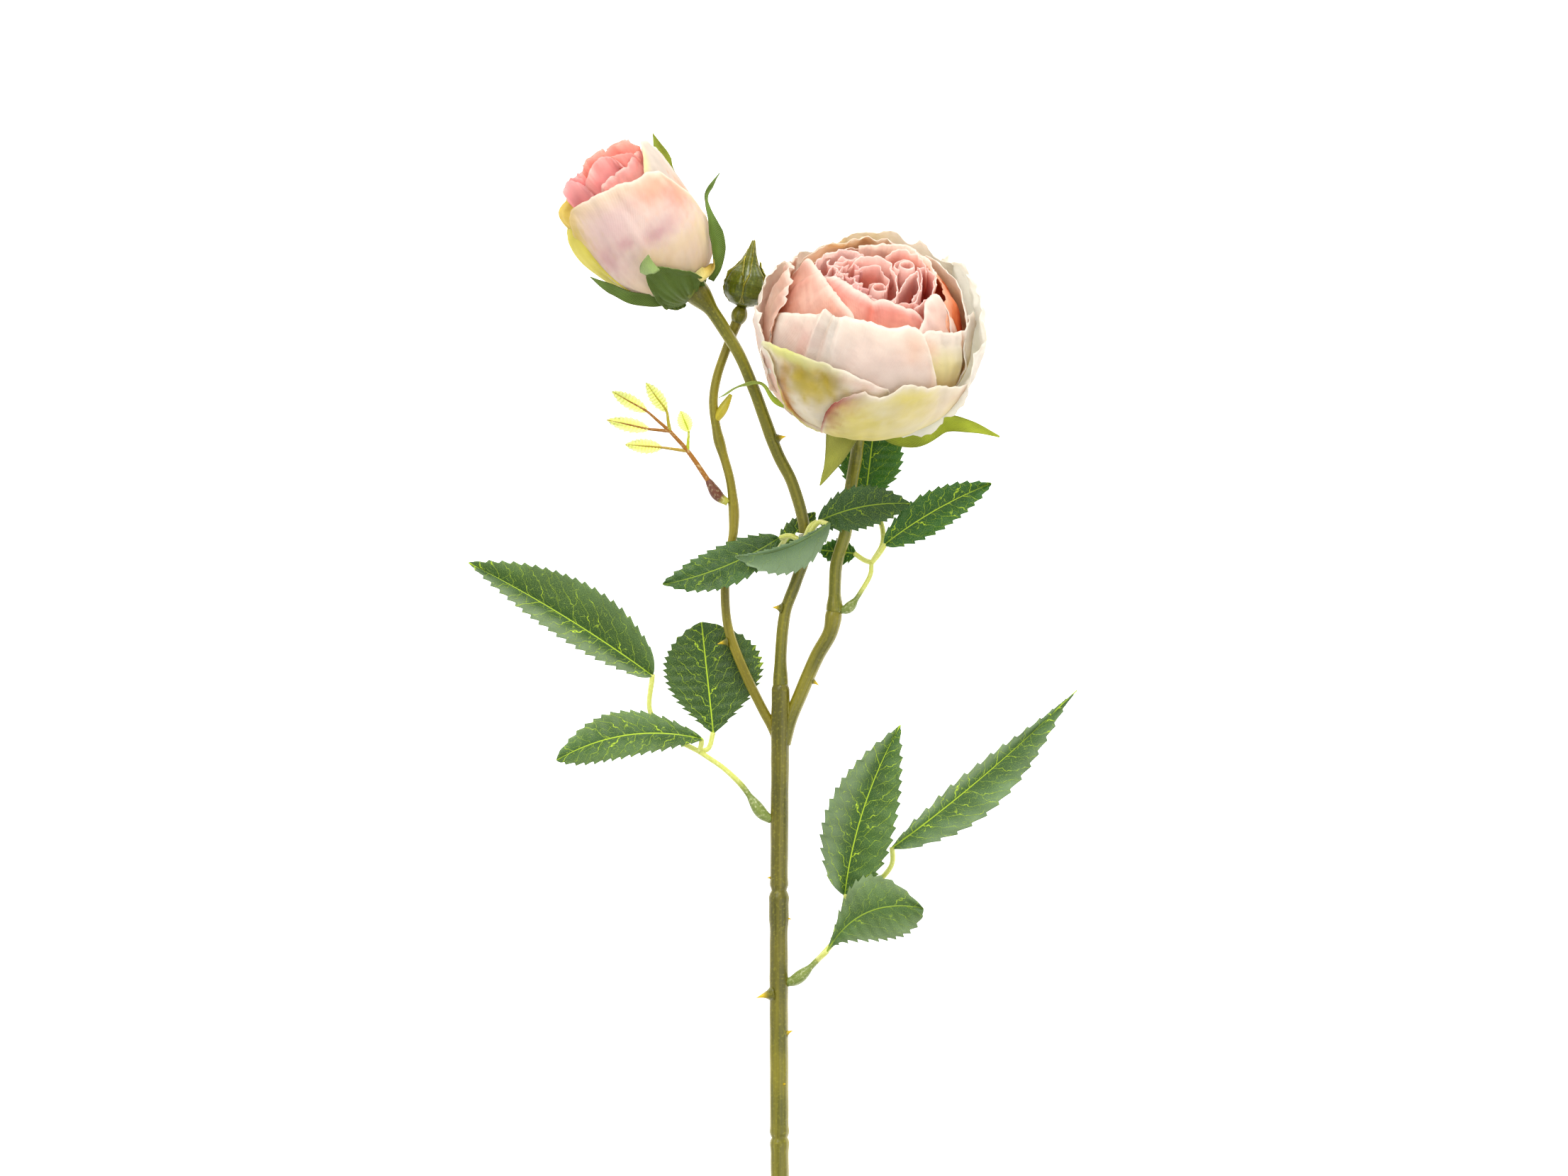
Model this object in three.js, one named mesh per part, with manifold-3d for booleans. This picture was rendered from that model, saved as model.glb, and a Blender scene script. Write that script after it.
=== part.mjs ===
// A cut rose spray made of fabric and moulded plastic, lying on a flat surface.
// One jointed main stem carries three branches: the right one ends in a full bloom, the middle one in a
// half-open bloom and the left one in a closed bud. Four leaf sprays and a young sprig grow from them.
//
// Millimetres, +Z up. The stem runs along +Y from its cut end to the flowers, +X is to the right of it.
// Every piece is drawn about the fork, the point where the branches leave the main stem, with the surface
// at z = 0. The finished spray is then moved so that the middle of its underside is the origin.
import * as THREE from "three";
import { mergeVertices } from "three/addons/utils/BufferGeometryUtils.js";
import Module from "manifold-3d";

// ---- Driving dimensions -------------------------------------------------------------------------------

const clearance = 0.3; // gap between pieces that touch

const stemLength = 318; // cut end to fork
const stemRadius = 3.0;
const forkHeight = 9; // of the stem's centre line above the surface
const stemSegment = 82.5; // between the moulded joints of the main stem
const upperJoint = 68.5; // fork to the first moulded joint
const jointGroove = 0.45; // depth of a joint's groove

const budBranchRadius = 1.45;
const middleBranchRadius = 1.95;
const rightBranchRadius = 2.0;
const neckRadius = 3.4; // the middle branch under its bloom
const knobRadius = 2.7; // the bud branch under its bud

const bloomRadius = 36.8; // outer petals of the full bloom
const bloomStretch = 0.88; // its length along its axis against its width
const bloomLeft = -7.8; // x of the full bloom's left side
const bloomBase = 78.2; // y of its lower side, from the fork
const halfBloomRadius = 20; // outer petals of the half-open bloom
const halfBloomStretch = 1.38;
const halfBloomRight = -26.8; // x of the half-open bloom's right side
const halfBloomMiddle = 152.4; // y of its middle, from the fork
const budRadius = 7;
const budLength = 22.5;

const petalThickness = 0.8;
const petalSpiral = 1.2; // how far a petal's two sides lie outside and inside the layer's radius
const layerPitch = 4; // between the layers of petals
const halfLayerPitch = 3.6;
const halfPetalSpiral = 0.95;
const calyxWall = 1;
const sepalThickness = 0.8;

const leafThickness = 0.8;
const leafScale = 1; // width of the leaflets
const petiolePlastic = 0.85; // radius of the leaf stalks
const sheathRadius = 2.3;
const collarWall = 1.2;
const collarLength = 6;

// ---- Colours ------------------------------------------------------------------------------------------

const stemGreen = plastic(0x7d7c1e, 0.45);
const stalkGreen = plastic(0xc5cc6c, 0.45);
const budGreen = plastic(0x5d6420, 0.3);
const clearPlastic = plastic(0xe6ead6, 0.15);
const sprigYellow = plastic(0xc9c540, 0.5);
const leafGreen = plastic(0x3f6b35, 0.7);
const sepalGreen = plastic(0x6f8f3e, 0.75);
const palePetal = plastic(0xf2d6c8, 0.8);
const pinkPetal = plastic(0xef9f94, 0.8);

function plastic(color, roughness) {
  return new THREE.MeshStandardMaterial({ color, roughness, metalness: 0, side: THREE.DoubleSide });
}

// ---- Closed solids ------------------------------------------------------------------------------------

const wasm = await Module();
wasm.setup();

const point = (x, y, z) => new THREE.Vector3(x, y, z);
const radians = THREE.MathUtils.degToRad;

function geometryOf(positions, index) {
  const geometry = new THREE.BufferGeometry();
  geometry.setAttribute("position", new THREE.Float32BufferAttribute(positions, 3));
  geometry.setIndex(index);
  return geometry;
}

function signedVolume(positions, index) {
  const corner = (i) => point(...positions.slice(3 * index[i], 3 * index[i] + 3));
  let six = 0;
  for (let i = 0; i < index.length; i += 3) {
    six += corner(i).dot(corner(i + 1).cross(corner(i + 2)));
  }
  return six / 6;
}

// Turns every face round if the solid is inside out.
function facingOut(positions, index) {
  if (signedVolume(positions, index) < 0) {
    for (let i = 0; i < index.length; i += 3) {
      [index[i + 1], index[i + 2]] = [index[i + 2], index[i + 1]];
    }
  }
  return geometryOf(positions, index);
}

// A curved sheet of even thickness. surface(u, v) is its middle surface, u in 0..1 and v in -1..1.
function sheet(steps, surface, thickness) {
  const [rows, columns] = steps;
  const positions = [];
  const index = [];
  const small = 1e-3;
  for (const side of [0.5, -0.5]) {
    for (let i = 0; i <= rows; i++) {
      for (let j = 0; j <= columns; j++) {
        const u = i / rows;
        const v = (2 * j) / columns - 1;
        const along = surface(Math.min(u + small, 1), v).sub(surface(Math.max(u - small, 0), v));
        const across = surface(u, v + small).sub(surface(u, v - small));
        const normal = along.cross(across).normalize();
        positions.push(...surface(u, v).addScaledVector(normal, side * thickness).toArray());
      }
    }
  }
  const layer = (rows + 1) * (columns + 1);
  const at = (i, j, side) => side * layer + i * (columns + 1) + j;
  const quad = (a, b, c, d) => index.push(a, b, c, a, c, d);
  for (let i = 0; i < rows; i++) {
    for (let j = 0; j < columns; j++) {
      quad(at(i, j, 0), at(i + 1, j, 0), at(i + 1, j + 1, 0), at(i, j + 1, 0));
      quad(at(i, j, 1), at(i, j + 1, 1), at(i + 1, j + 1, 1), at(i + 1, j, 1));
    }
    quad(at(i, 0, 0), at(i, 0, 1), at(i + 1, 0, 1), at(i + 1, 0, 0));
    quad(at(i, columns, 0), at(i + 1, columns, 0), at(i + 1, columns, 1), at(i, columns, 1));
  }
  for (let j = 0; j < columns; j++) {
    quad(at(0, j, 0), at(0, j + 1, 0), at(0, j + 1, 1), at(0, j, 1));
    quad(at(rows, j, 0), at(rows, j, 1), at(rows, j + 1, 1), at(rows, j + 1, 0));
  }
  return facingOut(positions, index);
}

// A round rod along a curve. Each ring is [share of the curve's length, radius].
function rod(curve, rings, sides = 8) {
  const fine = 200;
  const frames = curve.computeFrenetFrames(fine, false);
  const positions = [];
  const index = [];
  for (const [share, radius] of rings) {
    const centre = curve.getPointAt(share);
    const k = Math.round(share * fine);
    for (let s = 0; s < sides; s++) {
      const angle = (2 * Math.PI * s) / sides;
      const p = centre
        .clone()
        .addScaledVector(frames.normals[k], radius * Math.cos(angle))
        .addScaledVector(frames.binormals[k], radius * Math.sin(angle));
      positions.push(...p.toArray());
    }
  }
  for (let r = 0; r + 1 < rings.length; r++) {
    for (let s = 0; s < sides; s++) {
      const next = (s + 1) % sides;
      const [a, b] = [r * sides + s, r * sides + next];
      index.push(a, b, b + sides, a, b + sides, a + sides);
    }
  }
  const end = (rings.length - 1) * sides;
  for (let s = 1; s + 1 < sides; s++) {
    index.push(0, s + 1, s, end, end + s, end + s + 1);
  }
  return facingOut(positions, index);
}

// Rings of an even rod, one about every spacing along the curve.
function evenRings(curve, radius, spacing = 8) {
  const count = Math.max(2, Math.round(curve.getLength() / spacing));
  return Array.from({ length: count + 1 }, (_, i) => [i / count, radius]);
}

function curveThrough(...points) {
  return new THREE.CatmullRomCurve3(points, false, "centripetal");
}

function evenRod(radius, ...points) {
  const curve = curveThrough(...points);
  return rod(curve, evenRings(curve, radius));
}

// A rod that narrows evenly from its first point to its last.
function taperedRod(startRadius, endRadius, ...points) {
  const curve = curveThrough(...points);
  const rings = evenRings(curve, startRadius, 4);
  return rod(curve, rings.map(([share]) => [share, startRadius + (endRadius - startRadius) * share]));
}

function solidOf(geometry) {
  const plain = geometry.clone();
  plain.deleteAttribute("normal");
  plain.deleteAttribute("uv");
  const merged = mergeVertices(plain, 1e-3);
  const mesh = new wasm.Mesh({
    numProp: 3,
    vertProperties: new Float32Array(merged.attributes.position.array),
    triVerts: new Uint32Array(merged.index.array),
  });
  return new wasm.Manifold(mesh);
}

// Joins overlapping solids into the one moulded piece that they form.
function moulded(...geometries) {
  const joined = geometries.map(solidOf).reduce((sum, solid) => sum.add(solid));
  const mesh = joined.getMesh();
  return geometryOf(Array.from(mesh.vertProperties), Array.from(mesh.triVerts));
}

const rose = new THREE.Group();

function addPiece(name, geometry, material) {
  const mesh = new THREE.Mesh(geometry, material);
  mesh.name = name;
  rose.add(mesh);
}

// ---- Main stem ----------------------------------------------------------------------------------------

const stemRise = forkHeight - stemRadius;
const stemCurve = curveThrough(
  point(0, -stemLength, stemRadius),
  point(0, -0.66 * stemLength, stemRadius + 0.34 * stemRise),
  point(-0.6, -0.3 * stemLength, stemRadius + 0.7 * stemRise),
  point(0, 0, forkHeight),
);

// Centre of the main stem at a distance below the fork.
const stemAt = (below) => stemCurve.getPointAt(1 - below / stemLength);

function stemRings() {
  const rings = [[0, stemRadius]];
  const groove = 1.2; // half its width
  const bumpLength = 12; // thicker stretch just below the upper joint
  const share = (below) => 1 - below / stemLength;
  const reach = stemLength - upperJoint - groove - bumpLength; // room for joints below the upper one
  const lowestJoint = upperJoint + stemSegment * Math.floor(reach / stemSegment);
  for (let joint = lowestJoint; joint > 0; joint -= stemSegment) {
    const below = joint === upperJoint ? 1.12 * stemRadius : stemRadius;
    rings.push([share(joint + groove + bumpLength), stemRadius]);
    rings.push([share(joint + groove), below]);
    rings.push([share(joint), stemRadius - jointGroove]);
    rings.push([share(joint - groove), stemRadius]);
  }
  rings.push([share(30), stemRadius], [share(15), 1.05 * stemRadius], [1, stemRadius]);
  return rings;
}

// A thorn standing on a rod: its root is sunk in the rod, its tip points along the direction.
function thorn(centre, direction, length, base, rodRadius) {
  const cone = new THREE.ConeGeometry(base, length + rodRadius, 6);
  cone.translate(0, (length + rodRadius) / 2, 0);
  const turn = new THREE.Quaternion().setFromUnitVectors(point(0, 1, 0), direction.clone().normalize());
  cone.applyQuaternion(turn);
  cone.translate(centre.x, centre.y, centre.z);
  return cone;
}

const stemThorns = [
  // distance below the fork, direction, length, base radius
  [103, point(-1, -0.1, 0.25), 4.6, 2.4],
  [118, point(0.9, 0.6, 0.3), 2.6, 1.7],
  [134, point(0.5, 0.3, 0.8), 1.6, 1.3],
  [78, point(1, 0, 0.2), 1.4, 1.3],
  [65, point(-1, 0.2, 0.2), 1.2, 1.3],
];

addPiece(
  "main_stem",
  moulded(
    rod(stemCurve, stemRings()),
    ...stemThorns.map(([below, direction, length, base]) =>
      thorn(stemAt(below), direction, length, base, stemRadius),
    ),
  ),
  stemGreen,
);

// ---- Blooms: where they lie ---------------------------------------------------------------------------

// A bloom is a set of nested bowls about an axis. right and front complete its frame.
function bloomFrame(centre, axis, radius, stretch) {
  axis.normalize();
  const right = axis.clone().cross(point(0, 0, 1)).normalize();
  const front = right.clone().cross(axis);
  return { centre, axis, right, front, radius, stretch };
}

// Point of a bloom's bowl of the given radius: phi is measured from the foot, theta from the right.
function onBowl(bloom, radius, phi, theta) {
  return bloom.centre
    .clone()
    .addScaledVector(bloom.right, radius * Math.sin(phi) * Math.cos(theta))
    .addScaledVector(bloom.front, radius * Math.sin(phi) * Math.sin(theta))
    .addScaledVector(bloom.axis, -radius * Math.cos(phi) * bloom.stretch);
}

// Each bloom rests on its outer petals, so its middle is one radius above the surface.
const fullBloom = bloomFrame(
  point(bloomLeft + bloomRadius, bloomBase + bloomRadius, bloomRadius),
  point(0.08, 0.82, 0.57),
  bloomRadius,
  bloomStretch,
);

const halfBloom = bloomFrame(
  point(halfBloomRight - halfBloomRadius, halfBloomMiddle, halfBloomRadius),
  point(-0.557, 0.83, 0.14),
  halfBloomRadius,
  halfBloomStretch,
);

// Radius of the calyx's inner wall, just outside the outer petals.
const calyxInside = (bloom, spiral) => bloom.radius + spiral + petalThickness / 2 + clearance + 0.1;

// The point on a bloom's axis where its stem ends, just under the calyx.
function bloomFoot(bloom, spiral) {
  return onBowl(bloom, calyxInside(bloom, spiral) + calyxWall + 2 * clearance, 0, 0);
}

const fullFoot = bloomFoot(fullBloom, petalSpiral);
const halfFoot = bloomFoot(halfBloom, halfPetalSpiral);

// ---- Branches -----------------------------------------------------------------------------------------

const sideStart = (radius) => stemRadius * 1.05 + radius + clearance;

// Left branch, to the closed bud.
const budFoot = point(-12.6, 125.4, 12);
const knobCentre = budFoot.clone().add(point(-1, -2.6, -0.2));
const budBranchCurve = curveThrough(
  point(-sideStart(budBranchRadius) - 0.2, -10, 7.8),
  point(-14.1, 9, 8.4),
  point(-17.6, 20, 8.9),
  point(-18.3, 37, 9.2),
  point(-15.6, 51, 9.4),
  point(-16.4, 66, 9.7),
  point(-21, 83.5, 10),
  point(-22.3, 94, 10.2),
  point(-21.1, 102, 10.3),
  point(-17.9, 111.5, 10.6),
  budFoot.clone().add(point(-1.2, -3.4, -0.2)),
);

addPiece(
  "bud_branch",
  moulded(
    rod(budBranchCurve, evenRings(budBranchCurve, budBranchRadius)),
    new THREE.SphereGeometry(knobRadius, 8, 6).translate(...knobCentre.toArray()),
    thorn(point(-17, 14, 8.7), point(-1, -0.1, 0), 2.4, 1.2, budBranchRadius),
    taperedRod(1.5, 0.6, point(-21.9, 88, 10.1), point(-19.6, 90.5, 10.8), point(-16.4, 96, 11.4)),
  ),
  stemGreen,
);

// Middle branch, to the half-open bloom. It passes over the left branch.
const middleCurve = curveThrough(
  point(0, clearance, forkHeight),
  point(0.2, 11.5, 9.6),
  point(1.6, 24, 10.6),
  point(5.2, 34, 11.3),
  point(8, 43, 12),
  point(7.9, 52, 12.5),
  point(3.8, 67, 13.6),
  point(-1.2, 77, 14.4),
  point(-8.5, 97, 16.2),
  point(-13.6, 109, 16.9),
  point(-18.4, 117.5, 16.4),
  halfFoot.clone().addScaledVector(halfBloom.axis, -5),
  halfFoot,
);
const collarShare = 0.36; // of the middle branch's length, where the leaf spray's collar sits

function middleRings() {
  const rings = evenRings(middleCurve, middleBranchRadius, 7).slice(0, -2);
  const length = middleCurve.getLength();
  const root = [0, 1.2 * middleBranchRadius];
  const neck = [1 - 7 / length, 1.25 * middleBranchRadius];
  return [root, ...rings.slice(1), neck, [1, neckRadius]];
}

addPiece(
  "middle_branch",
  moulded(
    rod(middleCurve, middleRings()),
    thorn(point(1.6, 25, 10.7), point(-1, 0.2, 0.2), 2.4, 1.3, middleBranchRadius),
    thorn(point(-2.6, 81, 14.8), point(1, 0.4, 0.2), 2.4, 1.2, middleBranchRadius),
  ),
  stemGreen,
);

// Right branch, in two pieces, to the full bloom.
const rightJoint = point(17.9, 24.8, 10);
const rightJointGap = point(0, clearance, 0);

addPiece(
  "right_branch_lower",
  moulded(
    taperedRod(
      rightBranchRadius * 1.1,
      rightBranchRadius * 1.2,
      point(sideStart(rightBranchRadius) + 0.3, -6, 7.8),
      point(12, 9, 8.8),
      point(16.6, 17.5, 9.6),
      rightJoint.clone().sub(rightJointGap),
    ),
    thorn(point(8.6, 2.4, 8.3), point(1, -0.5, 0.1), 1.6, 1.2, rightBranchRadius),
  ),
  stemGreen,
);

const rightUpperCurve = curveThrough(
  rightJoint.clone().add(rightJointGap),
  point(18.6, 40, 10.8),
  point(21.6, 50.4, 11.3),
  point(22.8, 62, 12),
  fullFoot.clone().addScaledVector(fullBloom.axis, -12),
  fullFoot,
);

const rightUpperRings = evenRings(rightUpperCurve, rightBranchRadius, 6);
addPiece("right_branch_upper", rod(rightUpperCurve, rightUpperRings), stemGreen);

// ---- Closed bud ---------------------------------------------------------------------------------------

function closedBud() {
  const outline = [
    [0, 0.6],
    [0.45, 0.6],
    [0.93, 0.16 * budLength],
    [1, 0.32 * budLength],
    [0.86, 0.5 * budLength],
    [0.55, 0.66 * budLength],
    [0.22, 0.84 * budLength],
    [0, budLength],
  ];
  const profile = outline.map(([share, height]) => new THREE.Vector2(share * budRadius, height));
  const body = new THREE.LatheGeometry(profile, 10);
  const tips = [-1, 1].map((side) => {
    const tip = new THREE.ConeGeometry(1.8, 6, 6);
    tip.rotateZ(-0.15 * side);
    return tip.translate(0.78 * side * budRadius, 0.6 * budLength, 0);
  });
  const bud = moulded(body, ...tips);
  bud.rotateZ(-0.17);
  return bud.translate(...budFoot.toArray());
}

addPiece("closed_bud", closedBud(), budGreen);

// ---- Calyces ------------------------------------------------------------------------------------------

// A sepal runs up the bowl from the foot and stands off it by flare at its tip.
function sepal(bloom, foot, { theta, phiEnd, flare, width }) {
  const phiStart = radians(10);
  const surface = (u, v) => {
    const phi = phiStart + (radians(phiEnd) - phiStart) * u;
    const halfWidth = (width / 2) * Math.max((1 - u) ** 0.8, 0.1);
    const radius = foot + flare * u ** 1.5;
    const middle = onBowl(bloom, radius, phi, radians(theta));
    const across = onBowl(bloom, radius, phi, radians(theta) + 0.01).sub(middle).normalize();
    return middle.addScaledVector(across, v * halfWidth);
  };
  return sheet([6, 2], surface, sepalThickness);
}

function calyx(bloom, spiral, cupAngle, sepals) {
  const inside = calyxInside(bloom, spiral);
  const angles = [0, 0.33, 0.67, 1].map((share) => share * radians(cupAngle));
  const wallPoint = (radius, phi) => {
    return new THREE.Vector2(radius * Math.sin(phi), -radius * Math.cos(phi) * bloom.stretch);
  };
  const wall = (radius) => angles.map((phi) => wallPoint(radius, phi));
  const outer = wall(inside + calyxWall);
  const inner = wall(inside).reverse();
  const cup = new THREE.LatheGeometry([...outer, ...inner], 12);
  const frame = new THREE.Matrix4().makeBasis(bloom.right, bloom.axis, bloom.front);
  cup.applyMatrix4(frame.setPosition(bloom.centre));
  return moulded(cup, ...sepals.map((spec) => sepal(bloom, inside + calyxWall / 2, spec)));
}

const fullSepals = [
  { theta: 120, phiEnd: 20, flare: 21, width: 8 },
  { theta: 15, phiEnd: 54, flare: 19, width: 8 },
  { theta: 193, phiEnd: 51, flare: 23, width: 6 },
  { theta: 235, phiEnd: 48, flare: 0, width: 8 },
  { theta: 308, phiEnd: 48, flare: 0, width: 8 },
];
addPiece("full_bloom_calyx", calyx(fullBloom, petalSpiral, 15, fullSepals), sepalGreen);

const halfSepals = [
  { theta: -30, phiEnd: 127, flare: 4, width: 9 },
  { theta: 8, phiEnd: 88, flare: 9, width: 9 },
  { theta: 104, phiEnd: 64, flare: 1.5, width: 13 },
  { theta: 186, phiEnd: 80, flare: 3, width: 9 },
  { theta: 248, phiEnd: 42, flare: 0, width: 8 },
];
addPiece("half_bloom_calyx", calyx(halfBloom, halfPetalSpiral, 22, halfSepals), sepalGreen);

// ---- Petals -------------------------------------------------------------------------------------------

// One petal of a bowl: a part of it, from the foot to the rim, that slips over its neighbour on one side
// and under the other.
function bowlPetal(bloom, { radius, spiral, theta, halfAngle, phiStart, phiEnd }) {
  const surface = (u, v) => {
    const phi = radians(phiStart) + radians(phiEnd - phiStart) * u;
    const narrowing = 1 - 0.45 * Math.max(0, (u - 0.6) / 0.4) ** 2;
    const turn = v * narrowing;
    return onBowl(bloom, radius + spiral * turn, phi, radians(theta + halfAngle * turn));
  };
  return sheet([5, 6], surface, petalThickness);
}

// One rolled petal of the heart: an upright roll about the bloom's axis.
function heartPetal(bloom, { radius, theta, turn, foot, rim }) {
  const surface = (u, v) => {
    const angle = radians(theta + (turn / 2) * v);
    const r = radius * (0.72 + 0.28 * u);
    return bloom.centre
      .clone()
      .addScaledVector(bloom.right, r * Math.cos(angle))
      .addScaledVector(bloom.front, r * Math.sin(angle))
      .addScaledVector(bloom.axis, foot + (rim - foot) * u);
  };
  return sheet([3, 10], surface, petalThickness);
}

function addPetals(prefix, bloom, layers, pitch, spiral, material) {
  layers.forEach(({ name, count, halfAngle, phiStart, phiEnd, turn }, layer) => {
    for (let i = 0; i < count; i++) {
      const petal = {
        radius: bloom.radius - pitch * layer,
        spiral,
        theta: turn + (360 / count) * i,
        halfAngle,
        phiStart,
        phiEnd,
      };
      addPiece(`${prefix}_${name}_petal_${i + 1}`, bowlPetal(bloom, petal), material(layer));
    }
  });
}

const fullLayers = [
  { name: "outer", count: 5, halfAngle: 48, phiStart: 13, phiEnd: 94, turn: 70 },
  { name: "second", count: 5, halfAngle: 48, phiStart: 18, phiEnd: 114, turn: 100 },
  { name: "third", count: 5, halfAngle: 48, phiStart: 24, phiEnd: 133, turn: 60 },
  { name: "inner", count: 3, halfAngle: 70, phiStart: 30, phiEnd: 122, turn: 30 },
];
const fullColours = (layer) => (layer < 3 ? palePetal : pinkPetal);
addPetals("full_bloom", fullBloom, fullLayers, layerPitch, petalSpiral, fullColours);

const heartRoll = 250; // degrees that a heart petal wraps round
const fullHeart = bloomRadius - 3 * layerPitch - 7.3; // radius of the widest roll
for (let i = 0; i < 3; i++) {
  const radius = fullHeart * (1 - 0.29 * i);
  const roll = { radius, theta: 130 * i, turn: heartRoll, foot: -6, rim: 19 - i };
  addPiece(`full_bloom_heart_petal_${i + 1}`, heartPetal(fullBloom, roll), pinkPetal);
}

const halfLayers = [
  { name: "outer", count: 4, halfAngle: 62, phiStart: 18, phiEnd: 135, turn: 85 },
  { name: "inner", count: 3, halfAngle: 76, phiStart: 26, phiEnd: 135, turn: 40 },
];
const halfColours = (layer) => (layer < 1 ? palePetal : pinkPetal);
addPetals("half_bloom", halfBloom, halfLayers, halfLayerPitch, halfPetalSpiral, halfColours);

const halfHeart = halfBloomRadius - halfLayerPitch - 6.4;
for (let i = 0; i < 3; i++) {
  const radius = halfHeart * (1 - 0.32 * i);
  const roll = { radius, theta: 110 * i, turn: heartRoll, foot: -10, rim: 25 - i };
  addPiece(`half_bloom_heart_petal_${i + 1}`, heartPetal(halfBloom, roll), pinkPetal);
}

// ---- Leaves -------------------------------------------------------------------------------------------

// A leaflet from its base to its tip. bow bends its midrib sideways, arch bends it upwards, fold lifts both
// halves about the midrib, and roll and twist turn it about its length.
function leaflet({ base, tip, width, bow = 0, arch = 0, fold = 0, roll = 0, twist = 0 }, steps = [7, 4]) {
  const length = base.distanceTo(tip);
  const along = tip.clone().sub(base).normalize();
  const side = along.clone().cross(point(0, 0, 1)).normalize();
  const up = side.clone().cross(along);
  const surface = (u, v) => {
    const turn = radians(roll + twist * u);
    const across = side.clone().multiplyScalar(Math.cos(turn)).addScaledVector(up, Math.sin(turn));
    const raised = up.clone().multiplyScalar(Math.cos(turn)).addScaledVector(side, -Math.sin(turn));
    const hump = 4 * u * (1 - u);
    // Share of the width: the leaflet is widest a little before its middle.
    const share = Math.max(2.62 * u ** 0.62 * (1 - u) ** 0.78, 0.09);
    const halfWidth = ((leafScale * width) / 2) * share;
    return base
      .clone()
      .addScaledVector(along, length * u)
      .addScaledVector(side, bow * hump)
      .addScaledVector(up, arch * hump)
      .addScaledVector(across, halfWidth * v * Math.cos(radians(fold)))
      .addScaledVector(raised, halfWidth * Math.abs(v) * Math.sin(radians(fold)));
  };
  return sheet(steps, surface, leafThickness);
}

// From the end of a stalk to the base of its leaflet.
const leafGap = leafThickness / 2 + petiolePlastic / 2 + 2 * clearance;

// A stalk ends short of the leaflet that it carries.
function stalkTo(leafBase, ...points) {
  const last = points[points.length - 1];
  const reach = leafBase.clone().sub(last);
  const end = leafBase.clone().addScaledVector(reach.normalize(), -leafGap);
  return evenRod(petiolePlastic, ...points, end);
}

function addSpray(name, stalks, leaves) {
  addPiece(`${name}_leaf_stalk`, moulded(...stalks), stalkGreen);
  leaves.forEach((leaf, i) => addPiece(`${name}_leaf_${i + 1}`, leaflet(leaf), leafGreen));
}

// Left spray, on the main stem. Its first leaflet lies over the stalk of the third, its second under the
// left branch.
const leftNode = stemAt(44.3);
const leftHub = point(-27, -22.6, 6.2);
const leftLeaves = [
  { base: point(-25.8, -18.4, 9.8), tip: point(-74.3, -25.3, 12), width: 17, bow: 5, arch: 2, roll: -20 },
  { base: point(-22.3, -16.5, 4.6), tip: point(-26.3, 20.5, 4.2), width: 31 },
  { base: point(-42.5, 2.7, 7), tip: point(-103.6, 40.3, 10), width: 20, bow: 5, arch: 3, fold: 12 },
];
addSpray(
  "left",
  [
    taperedRod(
      sheathRadius,
      petiolePlastic,
      leftNode.clone().add(point(-stemRadius - sheathRadius - clearance, 1, 0)),
      point(-12.7, -34, 7.4),
      point(-19, -28, 6.8),
      leftHub,
    ),
    stalkTo(leftLeaves[0].base, leftHub, point(-26.4, -20.4, 8)),
    stalkTo(leftLeaves[1].base, leftHub, point(-24, -21.5, 5)),
    stalkTo(leftLeaves[2].base, leftHub, point(-37, -17, 4.6), point(-43.3, -9.5, 5)),
  ],
  leftLeaves,
);

// Right spray, on the main stem. Its first leaflet lies over the stalks of the other two.
const rightNode = stemAt(98.4);
const rightHub = point(23.4, -79.5, 5.6);
const rightLeaves = [
  { base: point(15.4, -89, 10.2), tip: point(47.5, -74.4, 12.5), width: 21, bow: -7, arch: 2 },
  { base: point(21.4, -70.2, 8), tip: point(39.5, -15, 13.5), width: 25, bow: -2, arch: 2, fold: 8 },
  { base: point(37, -54.8, 6), tip: point(98.2, -2.3, 12), width: 15, bow: 4, arch: 1, roll: 25, twist: -30 },
];
addSpray(
  "right",
  [
    taperedRod(
      sheathRadius,
      petiolePlastic,
      rightNode.clone().add(point(stemRadius + sheathRadius + clearance, 0, 0)),
      point(13.2, -91, 6.6),
      point(19, -84.5, 6),
      rightHub,
    ),
    stalkTo(rightLeaves[0].base, point(12.4, -91.8, 6.8), point(13.6, -90.7, 8.6)),
    stalkTo(rightLeaves[1].base, rightHub, point(22.6, -76, 6.2)),
    stalkTo(rightLeaves[2].base, rightHub, point(30, -69, 4.8), point(37, -60.3, 5)),
  ],
  rightLeaves,
);

// Middle spray, on a clear collar round the middle branch.
const collarPoint = middleCurve.getPointAt(collarShare);
const collarAxis = middleCurve.getTangentAt(collarShare);
const collarInside = middleBranchRadius + clearance;

function collar() {
  const half = collarLength / 2;
  const wall = [
    [collarInside, -half],
    [collarInside + collarWall, -half],
    [collarInside + collarWall, half],
    [collarInside, half],
    [collarInside, -half],
  ];
  const profile = wall.map(([x, y]) => new THREE.Vector2(x, y));
  const ring = new THREE.LatheGeometry(profile, 12);
  ring.applyQuaternion(new THREE.Quaternion().setFromUnitVectors(point(0, 1, 0), collarAxis));
  return ring.translate(...collarPoint.toArray());
}

addPiece("clear_collar", collar(), clearPlastic);

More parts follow.
